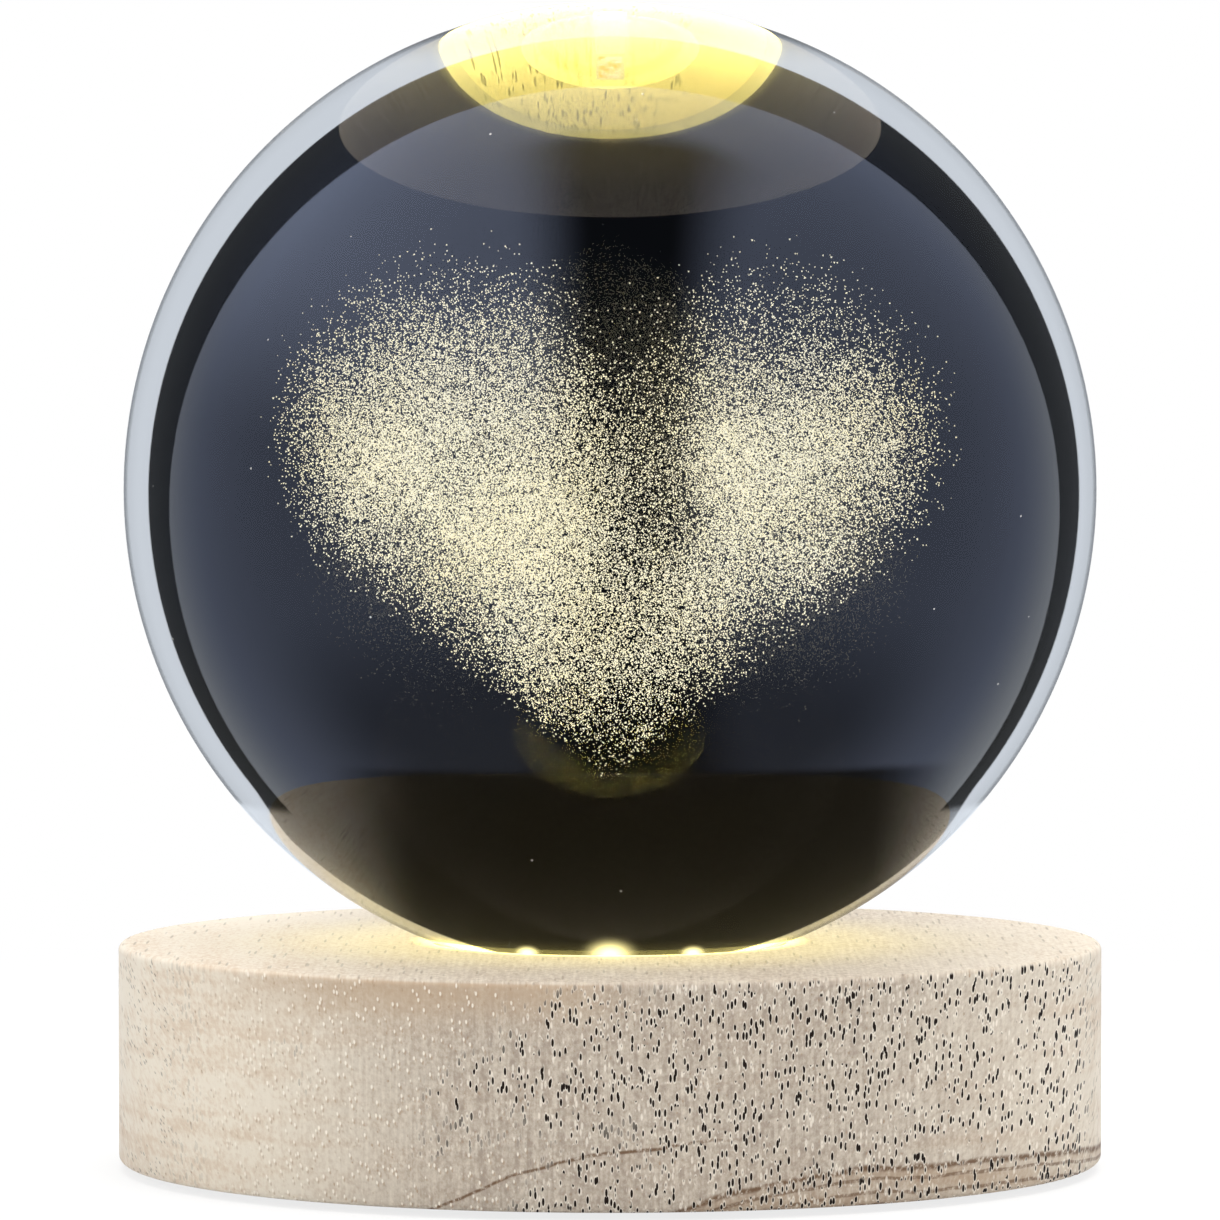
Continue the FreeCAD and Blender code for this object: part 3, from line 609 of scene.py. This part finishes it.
        # One pale colour for the flecks and for the painted highlights round the pores.
        colour = shader.mix((marks.flecks * 0.75).most(marks.pore_highlights * 0.55), colour, self.fleck_and_highlight)
        relief = fibre * 0.35 - marks.pores - marks.fine * 0.4 + marks.flecks * 0.4
        return shader.finish(shader.principled(
            Base_Color=shader.mix(marks.pores, colour, self.pore),
            Roughness=0.62 + (fibre - 0.5) * 0.25 + marks.pores * 0.2,
            Normal=shader.bump(relief, self.relief_depth),
            Specular_IOR_Level=0.2,
            Emission_Color=self.seat_light(shader, marks),
            Emission_Strength=self.glow,
        ))

    def seat_light(self, shader: Shader, marks: Marks) -> Socket:
        """The warm light of the diodes, painted on the wall of the hole and on the wood round the seat.

        Args:
            shader: the wood's shader.
            marks: where the pores are, which stay darker.

        Returns:
            The socket for the colour that the wood gives off.
        """
        x, y, z = shader.place()
        away = (x ** 2.0 + y ** 2.0).root() - self.seat_radius / MM
        wall = away.rise(0.7, 0.5) * z.rise(*self.hole_up) * shader.exposed(self.direct)
        upper = z.rise(self.top / MM - 0.2, self.top / MM - 0.05)
        near = away.rise(*self.near_reach) ** 2.0 * self.near_light
        wide = away.rise(*self.wide_reach) ** 2.0 * self.wide_light
        light = wall.most((near + wide) * upper) * (1.0 - marks.pores * 0.35 - marks.fine * 0.25)
        return shader.dimmed(light, self.lit)


@dataclass(frozen=True)
class GlassPlace:
    """A place on the ball: how far the glass turns away there, and the place across and up in radii."""

    slant: Value
    side: Value
    height: Value


@dataclass(frozen=True)
class ClearGlass:
    """Optical glass, with painted bands along its rim: a painted shade where it mirrors nothing of the
    surroundings, then a painted pale reflection at the edge.
    """

    centre_z: float
    radius: float
    name: str = "clear_glass"
    index: float = 1.517
    # Where the painted dark band starts, and how much of the mirror it takes away.
    dark_start: float = 0.915
    dark_share: float = 0.86
    # Where the painted pale reflection starts, and its share.
    pale_start: float = 0.957
    pale_share: float = 0.62
    soft: float = 0.002
    dust: Colour = (0.82, 0.82, 0.80)
    dust_cell: float = 4.2
    # Colour, strength and places of the painted glints at the ball's foot.
    spark: Colour = (1.0, 0.86, 0.36)
    spark_strength: float = 3.0
    glint_height: float = -0.929
    glint_side: float = 0.1675

    def material(self) -> Material:
        """Glass that refracts and mirrors, changed by the angle that it is seen at.

        Returns:
            The material.
        """
        shader = Shader(self.name)
        facing = Value(shader, shader.node("ShaderNodeLayerWeight", None, {"Blend": 0.5}).outputs["Facing"])
        slant = (1.0 - (1.0 - facing) ** 2.0).root()
        x, _, z = shader.place()
        side = x / (self.radius / MM)
        here = GlassPlace(slant, side, (z - self.centre_z / MM) / (self.radius / MM))
        clear = shader.principled(Base_Color=WHITE, Roughness=0.0, IOR=self.index, Transmission_Weight=1.0)
        bent = shader.out("ShaderNodeBsdfRefraction", {"Roughness": 0.0, "IOR": self.index})
        # A plain mirror, mixed in along the rim as a painted pale reflection.
        edge = shader.principled(Base_Color=WHITE, Metallic=1.0, Roughness=0.12)
        powder = shader.principled(Base_Color=self.dust, Roughness=0.8)
        spark = shader.glowing(self.spark, self.spark_strength)
        specks = shader.spots(shader.cells((self.dust_cell,) * 3), 0.016, 0.03)
        inner = Value(shader, shader.node("ShaderNodeNewGeometry").outputs["Backfacing"])
        # Over the clear glass: painted shade bands, a painted pale reflection at the rim, dust specks and
        # painted glints at the foot.
        surface = shader.mix_shaders(self.painted_shade_bands(here), clear, bent)
        surface = shader.mix_shaders(self.painted_rim_reflection(here), surface, edge)
        surface = shader.mix_shaders(specks * 0.6, surface, powder)
        surface = shader.mix_shaders(self.glints(here) * (1.0 - inner), surface, spark)
        made = shader.finish(surface)
        made.cycles.emission_sampling = "NONE"
        return made

    def painted_shade_bands(self, here: GlassPlace) -> Value:
        """Painted shade: where the glass is made to mirror almost nothing, so it looks dark, a band inside
        its rim and the part over the seat.

        Args:
            here: the place on the ball.

        Returns:
            The share of the mirror that is missing.
        """
        dome = here.height.most(0.0) ** 2.0
        start = self.dark_start - here.height * 0.040 - dome * 0.080 + here.side * 0.010
        ring = (here.slant - start).rise(-self.soft, self.soft) * here.height.rise(-0.650, -0.625)
        foot = here.height.rise(-0.522, -0.545) * (here.side - 0.07).absolute().rise(0.66, 0.44)
        return ring.most(foot) * self.dark_share

    def painted_rim_reflection(self, here: GlassPlace) -> Value:
        """Painted reflection: where the glass is made to mirror a pale edge along its rim.

        Args:
            here: the place on the ball.

        Returns:
            The share of the pale edge.
        """
        dome = here.height.most(0.0) ** 2.0
        start = self.pale_start - here.height * 0.008 - dome * 0.022 + here.side * 0.008
        start = start + here.height.rise(-0.58, -0.72) * 0.018
        rim = here.slant.rise(0.970, 0.995) * 0.12 + here.slant.rise(0.990, 0.998) * 0.5
        pale = (here.slant - start).rise(-self.soft, self.soft) * (1.0 - rim)
        return pale * (self.pale_share - here.height.rise(0.86, 0.96) * 0.4)

    def glints(self, here: GlassPlace) -> Value:
        """Painted glints: the light of the nearest diodes, painted as a glow on the glass at the foot of
        the ball, in front and behind.

        Args:
            here: the place on the ball.

        Returns:
            One in the middle of a glint and zero away from it.
        """
        rise = (here.height - self.glint_height) ** 2.0
        middle = (here.side ** 2.0 * 0.5 + rise).root().rise(0.062, 0.002) ** 3.0
        outer = (here.side.absolute() - self.glint_side) ** 2.0 * 0.5 + rise
        return middle.most(outer.root().rise(0.026, 0.002) ** 2.0)


@dataclass(frozen=True)
class MarkedGlass:
    """The fine cracks that the laser left in the glass, whose scattered warm light from below is painted in
    as a glow.
    """

    name: str = "marked_glass"
    white: Colour = (1.0, 0.980, 0.820)
    cream: Colour = (1.0, 0.905, 0.570)
    shade: Colour = (0.40, 0.38, 0.30)
    away: float = 0.33
    glow: float = 1.16
    tint_cell: Triple = (0.7, 0.7, 0.7)
    patch_cell: Triple = (7.0, 9.0, 7.0)

    def material(self) -> Material:
        """Points with painted light: a glow that is stronger where they face down to the light below, each
        a little warmer or whiter.

        Returns:
            The material.
        """
        shader = Shader(self.name)
        tint = shader.clouds(self.tint_cell).rise(0.3, 0.7)
        patch = shader.clouds(self.patch_cell).rise(0.3, 0.7)
        colour = shader.mix(tint * 0.5 + patch * 0.5, self.white, self.cream)
        slope = shader.axes(shader.node("ShaderNodeNewGeometry").outputs["Normal"])[2]
        # Painted light from below: the glow is strongest on faces that point down.
        light = shader.dimmed(slope.rise(0.9, -0.9) * (1.0 - self.away) + self.away, colour)
        return shader.finish(shader.principled(
            Base_Color=self.shade, Roughness=0.6, Emission_Color=light, Emission_Strength=self.glow))


@dataclass(frozen=True)
class DiodeWindow:
    """The yellow resin over a diode, with the bright chip showing through its middle."""

    name: str = "yellow_window"
    resin: Colour = (1.0, 0.62, 0.10)
    bright: Colour = (1.0, 0.86, 0.45)
    glow: float = 10.0
    direct: float = 0.30
    depth: float = 0.02
    cloud_cell: Triple = (0.8, 0.8, 0.8)

    def material(self) -> Material:
        """Cloudy resin that gives off warm light.

        Returns:
            The material.
        """
        shader = Shader(self.name)
        cloud = shader.clouds(self.cloud_cell, 3.0)
        colour = shader.mix(cloud.rise(0.25, 0.6), self.resin, self.bright)
        return shader.finish(shader.principled(
            Base_Color=self.resin,
            Roughness=0.35,
            Emission_Color=shader.dimmed(shader.exposed(self.direct), colour),
            Emission_Strength=self.glow,
            Normal=shader.bump(cloud, self.depth),
        ))


@dataclass(frozen=True)
class LightBoard:
    """The white board of the diodes: copper rings under the white mask, with the diodes' light on it
    painted in as a glow.
    """

    name: str = "white_board"
    mask: Colour = (0.60, 0.58, 0.50)
    copper: Colour = (0.46, 0.39, 0.27)
    lit: Colour = (1.0, 0.89, 0.20)
    shade: Colour = (0.90, 0.68, 0.10)
    track_radius: float = 8.9
    track_half: float = 2.6
    track_edge: Span = (0.75, 0.55)
    upper_face: Span = (14.2, 14.7)
    glow: float = 11.5
    direct: float = 0.025
    depth: float = 0.02
    speckle_cell: Triple = (0.3, 0.3, 0.3)
    streak_cell: Triple = (0.5, 3.0, 0.5)

    def material(self) -> Material:
        """Two ring tracks, speckle and the warm light of the diodes, painted on the board as a glow.

        Returns:
            The material.
        """
        shader = Shader(self.name)
        x, y, z = shader.place()
        away = (x ** 2.0 + y ** 2.0).root()
        track = ((away - self.track_radius).absolute() - self.track_half).absolute()
        track = track.rise(*self.track_edge)
        speckle = shader.clouds(self.speckle_cell)
        streak = shader.clouds(self.streak_cell, 3.0)
        upper = z.rise(*self.upper_face)
        # Painted light: the diodes' warm light on the board, streaked and deeper in colour over the streaks
        # and tracks.
        light = shader.mix(streak.rise(0.5, 0.75) * 0.8 + track * 0.25, self.lit, self.shade)
        return shader.finish(shader.principled(
            Base_Color=shader.mix(track * 0.5 + speckle * 0.15, self.mask, self.copper),
            Roughness=0.42 + (speckle - 0.5) * 0.2,
            Emission_Color=shader.dimmed(upper * shader.exposed(self.direct), light),
            Emission_Strength=self.glow,
            Normal=shader.bump(track + speckle * 0.3, self.depth),
        ))


@dataclass(frozen=True)
class PowerBoard:
    """The green board of the socket and the switch: tracks and drilled lands under the mask."""

    name: str = "green_board"
    mask: Colour = (0.020, 0.130, 0.050)
    track: Colour = (0.045, 0.230, 0.085)
    land: Colour = (0.62, 0.56, 0.42)
    pitch: float = 2.54
    depth: float = 0.03
    block_cell: Triple = (5.0, 3.0, 9.0)

    def material(self) -> Material:
        """Straight tracks, a few lands and a glossy mask.

        Returns:
            The material.
        """
        shader = Shader(self.name)
        lanes = ((shader.place()[0] * (2.0 * math.pi / self.pitch)).sine() * 0.5 + 0.5).rise(0.62, 0.72)
        blocks = shader.clouds(self.block_cell, 0.0).over(0.5)
        lands = shader.spots(shader.cells((self.pitch, self.pitch, 9.0)), 0.16, 0.19)
        tracks = lanes * blocks
        return shader.finish(shader.principled(
            Base_Color=shader.mix(lands, shader.mix(tracks, self.mask, self.track), self.land),
            Roughness=0.32 + lands * 0.1,
            Metallic=lands,
            Coat_Weight=0.4,
            Normal=shader.bump(tracks + lands, self.depth),
        ))


def finishes(centre_z: float, radius: float, base_top: float, seat_radius: float) -> Materials:
    """Makes every finish of the lamp once.

    Args:
        centre_z: the height of the ball's centre.
        radius: the ball's radius.
        base_top: the height of the wood's top.
        seat_radius: the radius of the ring that the ball rests on.

    Returns:
        The materials by the name of their slot.
    """
    made = [
        ClearGlass(centre_z, radius),
        MarkedGlass(),
        Rubberwood(seat_radius, base_top),
        LightBoard(),
        DiodeWindow(),
        PowerBoard(),
        # The white diode packages glow with the painted light of the diodes inside them.
        Moulding("white_package", (0.84, 0.82, 0.74), (0.74, 0.70, 0.58), 0.45, glow=9.0),
        Metal("zinc_steel", (0.62, 0.63, 0.64), (0.46, 0.47, 0.48), 0.34),
        Metal("nickel_shell", (0.70, 0.69, 0.66), (0.52, 0.51, 0.49), 0.26),
        Moulding("black_moulding", (0.014, 0.014, 0.015), (0.030, 0.030, 0.031), 0.48),
        Moulding("black_plate", (0.016, 0.016, 0.017), (0.034, 0.034, 0.036), 0.52, 0.32, 0.02),
        Moulding("white_moulding", (0.74, 0.73, 0.69), (0.62, 0.61, 0.57), 0.40),
        Moulding("black_button", (0.020, 0.020, 0.021), (0.042, 0.042, 0.044), 0.38, 0.2, 0.006),
        Moulding("resistor_black", (0.018, 0.018, 0.020), (0.050, 0.050, 0.052), 0.36),
        Moulding("red_insulation", (0.52, 0.020, 0.016), (0.38, 0.014, 0.012), 0.42),
        Moulding("black_insulation", (0.016, 0.016, 0.016), (0.034, 0.034, 0.034), 0.42),
        Moulding("black_cover", (0.017, 0.017, 0.018), (0.038, 0.038, 0.040), 0.58, 0.4, 0.03),
        Metal("black_steel", (0.070, 0.070, 0.074), (0.120, 0.118, 0.114), 0.40),
        Moulding("grey_rubber", (0.16, 0.16, 0.165), (0.22, 0.22, 0.225), 0.78, 0.18, 0.02),
    ]
    return {finish.name: finish.material() for finish in made}


class Points(Tree):
    """A geometry tree that fills a heart with small closed points."""

    def __init__(self, name: str) -> None:
        """Starts an empty tree that gives a mesh.

        Args:
            name: the tree's name.
        """
        group = bpy.data.node_groups.new(name, "GeometryNodeTree")
        super().__init__(group)
        self.group = group
        group.interface.new_socket(name="Mesh", in_out="OUTPUT", socket_type="NodeSocketGeometry")
        self.entry = self.node("NodeGroupInput")

    def inputs(self, kinds: dict[str, str]) -> list[Socket]:
        """Adds inputs to the tree.

        Args:
            kinds: the kind of each named input.

        Returns:
            Their sockets inside.
        """
        for name, kind in kinds.items():
            self.group.interface.new_socket(name=name, in_out="INPUT", socket_type="NodeSocket" + kind)
        return [self.entry.outputs[name] for name in kinds]

    def random(self, kind: str, low: Any, high: Any, seed: Any) -> Socket:
        """A random number or vector for each point.

        Args:
            kind: FLOAT or FLOAT_VECTOR.
            low: the least value.
            high: the greatest value.
            seed: what keeps the draw the same at each run.

        Returns:
            The socket of the draw.
        """
        entry, result = (0, 0) if kind == "FLOAT_VECTOR" else (2, 1)
        inputs = {entry: low, entry + 1: high, "Seed": seed}
        return self.node("FunctionNodeRandomValue", {"data_type": kind}, inputs).outputs[result]

    def close(self, geometry: Socket, material: Socket) -> None:
        """Ends the tree: the instances become a mesh that has its material.

        Args:
            geometry: the instances.
            material: the material's socket.
        """
        solid = self.out("GeometryNodeRealizeInstances", {"Geometry": geometry})
        dressed = self.out("GeometryNodeSetMaterial", {"Geometry": solid, "Material": material})
        self.node("NodeGroupOutput", None, {0: dressed})


def baked(name: str, tree: Points, inputs: dict[str, Any]) -> Piece:
    """Runs a geometry tree once and keeps its result as a plain mesh.

    Args:
        name: the piece's name.
        tree: the finished tree.
        inputs: a value for each named input.

    Returns:
        The piece, at the origin and with no modifier.
    """
    piece = bpy.data.objects.new(name, bpy.data.meshes.new(name))
    bpy.context.scene.collection.objects.link(piece)
    modifier = piece.modifiers.new(name, "NODES")
    modifier.node_group = tree.group
    for item in tree.group.interface.items_tree:
        if item.in_out == "INPUT" and item.name in inputs:
            modifier[item.identifier] = inputs[item.name]
    ready = piece.evaluated_get(bpy.context.evaluated_depsgraph_get())
    mesh = bpy.data.meshes.new_from_object(ready)
    piece.modifiers.clear()
    piece.data = mesh
    mesh.name = name
    return piece


def linked(name: str, shape: bmesh.types.BMesh, material: Material, smooth: bool) -> Piece:
    """Makes a piece of a finished shape.

    Args:
        name: the piece's name.
        shape: the shape, which is freed.
        material: its one material.
        smooth: whether its faces are shaded as one round surface.

    Returns:
        The piece, at the origin.
    """
    mesh = bpy.data.meshes.new(name)
    bmesh.ops.recalc_face_normals(shape, faces=shape.faces)
    for face in shape.faces:
        face.smooth = smooth
    shape.to_mesh(mesh)
    shape.free()
    mesh.materials.append(material)
    piece = bpy.data.objects.new(name, mesh)
    bpy.context.scene.collection.objects.link(piece)
    return piece


@dataclass(frozen=True)
class Layer:
    """One cloud of the heart's points, with the depth in the heart from which it is full."""

    name: str
    draws: int
    size: float
    seed: int
    full: float


@dataclass
class Ball:
    """The glass ball and the heart that is marked inside it."""

    materials: Materials
    centre: Vector
    radius: float
    meridians: int = 256
    parallels: int = 128
    lobe_radius: float = 9.9 * MM
    lobe_offset: float = 8.4 * MM
    lobe_rise: float = 3.3 * MM
    point_drop: float = 16.2 * MM
    seam_fill: float = 3.0 * MM
    patch: float = 6.0 * MM
    seam_side: float = 2.6 * MM
    seam_half: Span = (4.5 * MM, 0.5 * MM)
    seam_up: Span = (-8.0 * MM, -1.0 * MM)
    top_fade: Span = (-3.0 * MM, 13.5 * MM)
    tip_fade: Span = (-4.0 * MM, -11.0 * MM)
    side_fade: Span = (2.0 * MM, 10.0 * MM)
    fill_down: Span = (7.5 * MM, -5.0 * MM)
    fill_start: float = 11.0 * MM
    spill: float = 1.16
    swell: Span = (0.65, 1.5)
    turn_seed: int = 12
    swell_seed: int = 13
    layers: tuple[Layer, ...] = (
        Layer("heart_points", 320_000, 0.054 * MM, 7, 0.62),
        Layer("heart_haze", 320_000, 0.047 * MM, 8, 0.62),
        Layer("heart_mist", 300_000, 0.042 * MM, 9, 0.45),
    )

    def glass(self) -> Piece:
        """The ball as one smooth closed surface.

        Returns:
            The piece.
        """
        shape = bmesh.new()
        bmesh.ops.create_uvsphere(
            shape, u_segments=self.meridians, v_segments=self.parallels, radius=self.radius)
        bmesh.ops.translate(shape, verts=shape.verts, vec=self.centre)
        piece = linked("ball_glass", shape, self.materials["clear_glass"], True)
        piece.visible_shadow = False
        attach(piece, Body.BALL.value)
        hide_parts("crystal_ball")
        return piece

    def heart_tree(self) -> Points:
        """The tree that draws points in a box and keeps those in the heart, fewer towards its skin.

        Returns:
            The finished tree.
        """
        tree = Points("heart_points")
        count, low, high, centre, size, seed, full, material = tree.inputs({
            "Draws": "Int", "Low": "Vector", "High": "Vector", "Centre": "Vector",
            "Point Size": "Float", "Seed": "Int", "Full Depth": "Float", "Material": "Material"})
        drawn = tree.random("FLOAT_VECTOR", low, high, seed)
        cloud = tree.out("GeometryNodePoints", {
            "Count": count, "Position": tree.vector_math("ADD", drawn, centre), "Radius": size})
        here = tree.vector_math("SUBTRACT", tree.out("GeometryNodeInputPosition"), centre)
        lot = Value(tree, tree.random("FLOAT", 0.0, 1.0, seed))
        chance = self.chance(tree, here, Value(tree, full))
        kept = tree.node("GeometryNodeDeleteGeometry", {"domain": "POINT"}, {
            "Geometry": cloud, "Selection": lot.over(chance)}).outputs[0]
        crack = tree.out("GeometryNodeMeshCone", {
            "Vertices": 3, "Radius Top": 0.0, "Radius Bottom": size, "Depth": size})
        turn = tree.random("FLOAT_VECTOR", (0.0,) * 3, (2.0 * math.pi,) * 3, self.turn_seed)
        swell = tree.random("FLOAT", *self.swell, self.swell_seed)
        placed = tree.out("GeometryNodeInstanceOnPoints", {
            "Points": kept, "Instance": crack, "Rotation": turn, "Scale": swell})
        tree.close(placed, material)
        return tree

    def chance(self, tree: Points, here: Socket, full: Value) -> Value:
        """How likely a point is kept: patchy, and less so at the skin, the top, the seam and one side.

        Args:
            tree: the tree to add the formula to.
            here: the point's place about the centre of the ball.
            full: the depth from which the cloud is full.

        Returns:
            The chance from zero to one.
        """
        patches = tree.noise(tree.vector_math("MULTIPLY", here, (1.0 / self.patch,) * 3), detail=3.0)
        x, _, z = tree.axes(here)
        seam = (x - self.seam_side).absolute().rise(*self.seam_half) * z.rise(*self.seam_up)
        chance = self.depth_in_heart(tree, here).rise(self.spill, full)
        chance = chance * (0.35 + 0.65 * patches.rise(0.34, 0.62))
        chance = chance * (0.94 - z.rise(*self.top_fade) * 0.78) * (1.0 - seam * 0.70)
        chance = chance * (1.0 - x.rise(*self.side_fade) * 0.20)
        return chance * (1.0 - z.rise(*self.tip_fade) * 0.12)

    def depth_in_heart(self, tree: Points, here: Socket) -> Value:
        """How far out a point lies in the heart.

        Args:
            tree: the tree to add the formula to.
            here: the point's place about the centre of the ball.

        Returns:
            Zero on the axis of a teardrop, one on its skin and more outside it.
        """
        rise = self.lobe_rise + self.point_drop
        span = math.hypot(self.lobe_offset, rise)
        lean_x, lean_z = self.lobe_offset / span, rise / span
        spread = math.asin(self.lobe_radius / span)
        x, y, z = tree.axes(here)
        height = z + self.point_drop
        fill = self.seam_fill * z.rise(*self.fill_down) * height.rise(0.0, self.fill_start)
        across = (x ** 2.0 + fill ** 2.0).root()
        along = across * lean_x + height * lean_z
        beside = ((across * lean_z - height * lean_x) ** 2.0 + y ** 2.0).root()
        cone = beside / (along.most(1e-5) * math.tan(spread))
        lobe = (across - self.lobe_offset) ** 2.0 + y ** 2.0 + (z - self.lobe_rise) ** 2.0
        lobe = lobe.root() / self.lobe_radius
        upper = along.over(span * math.cos(spread) ** 2.0)
        return lobe * upper + cone * (1.0 - upper)

    def heart(self, layer: Layer) -> Piece:
        """One cloud of the heart's points, in place in the ball.

        Args:
            layer: the cloud.

        Returns:
            The piece.
        """
        half_width = (self.lobe_offset + self.lobe_radius) * 1.10
        top = (self.lobe_rise + self.lobe_radius) * 1.12
        inputs = {
            "Draws": layer.draws,
            "Low": (-half_width, -self.lobe_radius * 1.1, -self.point_drop),
            "High": (half_width, self.lobe_radius * 1.1, top),
            "Centre": self.centre,
            "Point Size": layer.size,
            "Seed": layer.seed,
            "Full Depth": layer.full,
            "Material": self.materials["marked_glass"],
        }
        piece = baked(layer.name, self.heart_tree(), inputs)
        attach(piece, Body.BALL.value)
        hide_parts("engraved_heart")
        return piece

    def build(self) -> list[Piece]:
        """Makes the pieces of the ball."""
        return [self.glass()] + [self.heart(layer) for layer in self.layers]


@dataclass
class Carried:
    """The pieces whose solids are shown as they are, each with the finish of its slot."""

    materials: Materials
    record: dict[str, Any]
    nodes: dict[str, Piece]

    def dress(self) -> list[Piece]:
        """Gives each shown node its finish.

        Returns:
            The nodes that were dressed.
        """
        dressed = []
        for entry in self.record["subparts"]:
            piece = self.nodes[entry["node"]]
            for slot in piece.material_slots:
                slot.material = self.materials[entry["material_slot"]]
            dressed.append(piece)
        return dressed


@dataclass(frozen=True)
class Softbox:
    """A soft studio light: its place, its power in watts and its width."""

    name: str
    place: Triple
    energy: float
    size: float


@dataclass
class Stage:
    """The floor, the surroundings, the lights and the camera."""

    daylight: Colour = (1.0, 0.98, 0.95)
    fill: Colour = (0.92, 0.96, 1.0)
    fill_strength: float = 0.36
    tent: Colour = (0.60, 0.70, 1.0)
    tent_back: Colour = (0.85, 0.915, 1.0)
    back_strength: float = 1.08
    dark: Colour = (0.0030, 0.0035, 0.0045)
    dark_warm: Colour = (0.0028, 0.0022, 0.0007)
    pale: Colour = (0.9, 0.9, 0.9)
    floor_half: float = 4.0
    shadow_reach: float = 0.22
    camera_place: Triple = (0.0002, -0.692, 0.0755)
    aim: Triple = (0.0, 0.0, 0.0459)
    lens: float = 248.0
    sensor: float = 36.0
    softboxes: tuple[Softbox, ...] = (
        Softbox("left_softbox", (-0.75, -0.55, 0.45), 2.3, 0.6),
        Softbox("right_softbox", (0.80, -0.60, 0.40), 2.0, 0.6),
        Softbox("top_softbox", (0.08, 0.05, 0.95), 13.5, 0.9),
    )

    def floor(self) -> Piece:
        """A pale floor that keeps a soft shadow and lets the surroundings show in the glass.

        Returns:
            The floor.
        """
        shape = bmesh.new()
        bmesh.ops.create_grid(shape, x_segments=1, y_segments=1, size=self.floor_half)
        shader = Shader("pale_floor")
        way = self.ways(shader)
        matt = shader.out("ShaderNodeBsdfDiffuse", {"Color": opaque(self.pale)})
        none = shader.out("ShaderNodeBsdfTransparent")
        x, y, _ = shader.place()
        away = (x ** 2.0 + y ** 2.0).root().rise(self.shadow_reach * 0.3 / MM, self.shadow_reach / MM)
        surface = shader.mix_shaders(way[Way.CAMERA] * (0.8 + away * 0.2), matt, shader.glowing(WHITE, 1.0))
        surface = shader.mix_shaders(way[Way.TRANSMISSION].most(way[Way.GLOSSY]), surface, none)
        piece = linked("floor", shape, shader.finish(surface), False)
        return piece

    def ways(self, tree: Tree) -> dict[Way, Value]:
        """The way that a ray has come, as values of a tree."""
        outputs = tree.node("ShaderNodeLightPath").outputs
        return {way: Value(tree, outputs[way.value]) for way in Way}

    def sky(self, tree: Tree, colour: Colour, strength: Number = 1.0) -> Socket:
        """A plain background of a colour."""
        return tree.out("ShaderNodeBackground", {"Color": opaque(colour), "Strength": strength})

    def surroundings(self) -> None:
        """White to the camera, soft to the wood, a pale tent in the glass's mirror and dark through it."""
        world = bpy.data.worlds.new("studio")
        world.use_nodes = True
        bpy.context.scene.world = world
        tree = Tree(world.node_tree)
        way = self.ways(tree)
        x, y, z = tree.axes(tree.node("ShaderNodeTexCoord").outputs["Generated"])
        strip = (x - 0.07).absolute().rise(0.42, 0.13) * y.rise(0.14, -0.02)
        above = z.rise(0.1, 0.7) * (0.88 - x * 0.65)
        below = z.rise(-0.3, -0.75) * y.rise(0.35, -0.2)
        mirror = (1.05 + above) * (1.0 - strip) * (1.0 - below * 0.6)
        back = self.sky(tree, self.tent_back, self.back_strength)
        tent = tree.mix_shaders(y.rise(0.35, 0.75), self.sky(tree, self.tent, mirror), back)
        warm = self.sky(tree, self.dark_warm)
        dark = tree.mix_shaders(z.rise(0.15, 0.50), self.sky(tree, self.dark), warm)
        shade = tree.mix_shaders(way[Way.GLOSSY], self.sky(tree, self.fill, self.fill_strength), tent)
        shade = tree.mix_shaders(way[Way.CAMERA], shade, self.sky(tree, WHITE))
        shade = tree.mix_shaders(way[Way.TRANSMISSION], shade, dark)
        tree.node("ShaderNodeOutputWorld", None, {"Surface": shade})

    def turned(self, place: Triple) -> Euler:
        """The turn of a light or camera that looks from a place at the middle of the lamp."""
        return (Vector(self.aim) - Vector(place)).to_track_quat("-Z", "Y").to_euler()

    def lamp(self, box: Softbox) -> None:
        """Adds a soft studio light that looks at the middle of the lamp and that the glass doesn't mirror.

        Args:
            box: the light.
        """
        data = bpy.data.lights.new(box.name, "AREA")
        data.energy = box.energy
        data.color = self.daylight
        data.size = box.size
        light = bpy.data.objects.new(box.name, data)
        light.location = box.place
        light.rotation_euler = self.turned(box.place)
        light.visible_glossy = False
        light.visible_transmission = False
        bpy.context.scene.collection.objects.link(light)

    def camera(self) -> None:
        """The camera at the photograph's place, a little above the middle of the ball."""
        data = bpy.data.cameras.new("camera")
        data.lens = self.lens
        data.sensor_width = self.sensor
        data.dof.use_dof = False
        eye = bpy.data.objects.new("camera", data)
        eye.location = self.camera_place
        eye.rotation_euler = self.turned(self.camera_place)
        bpy.context.scene.collection.objects.link(eye)
        bpy.context.scene.camera = eye

    def build(self) -> None:
        """Sets the whole stage."""
        self.floor()
        self.surroundings()
        for box in self.softboxes:
            self.lamp(box)
        self.camera()
        bpy.context.scene.view_settings.view_transform = "Standard"


def main() -> None:
    """Builds the finishes, the sub-assemblies and the stage, and reports each piece."""
    logging.basicConfig(level=logging.INFO)
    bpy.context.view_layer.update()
    low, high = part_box("crystal_ball")
    centre = (low + high) / 2.0
    radius = (high.z - low.z) / 2.0
    base_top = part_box("wooden_base")[1].z
    seat_radius = math.sqrt(radius ** 2 - (centre.z - base_top) ** 2)
    materials = finishes(centre.z, radius, base_top, seat_radius)
    carried = Carried(materials, frame["record"], frame["nodes"]).dress()
    made = Ball(materials, centre, radius).build()
    Stage().build()
    for piece in carried + made:
        LOG.info("%s: %d faces", piece.name, len(piece.data.polygons))


if __name__ == "__main__":
    main()
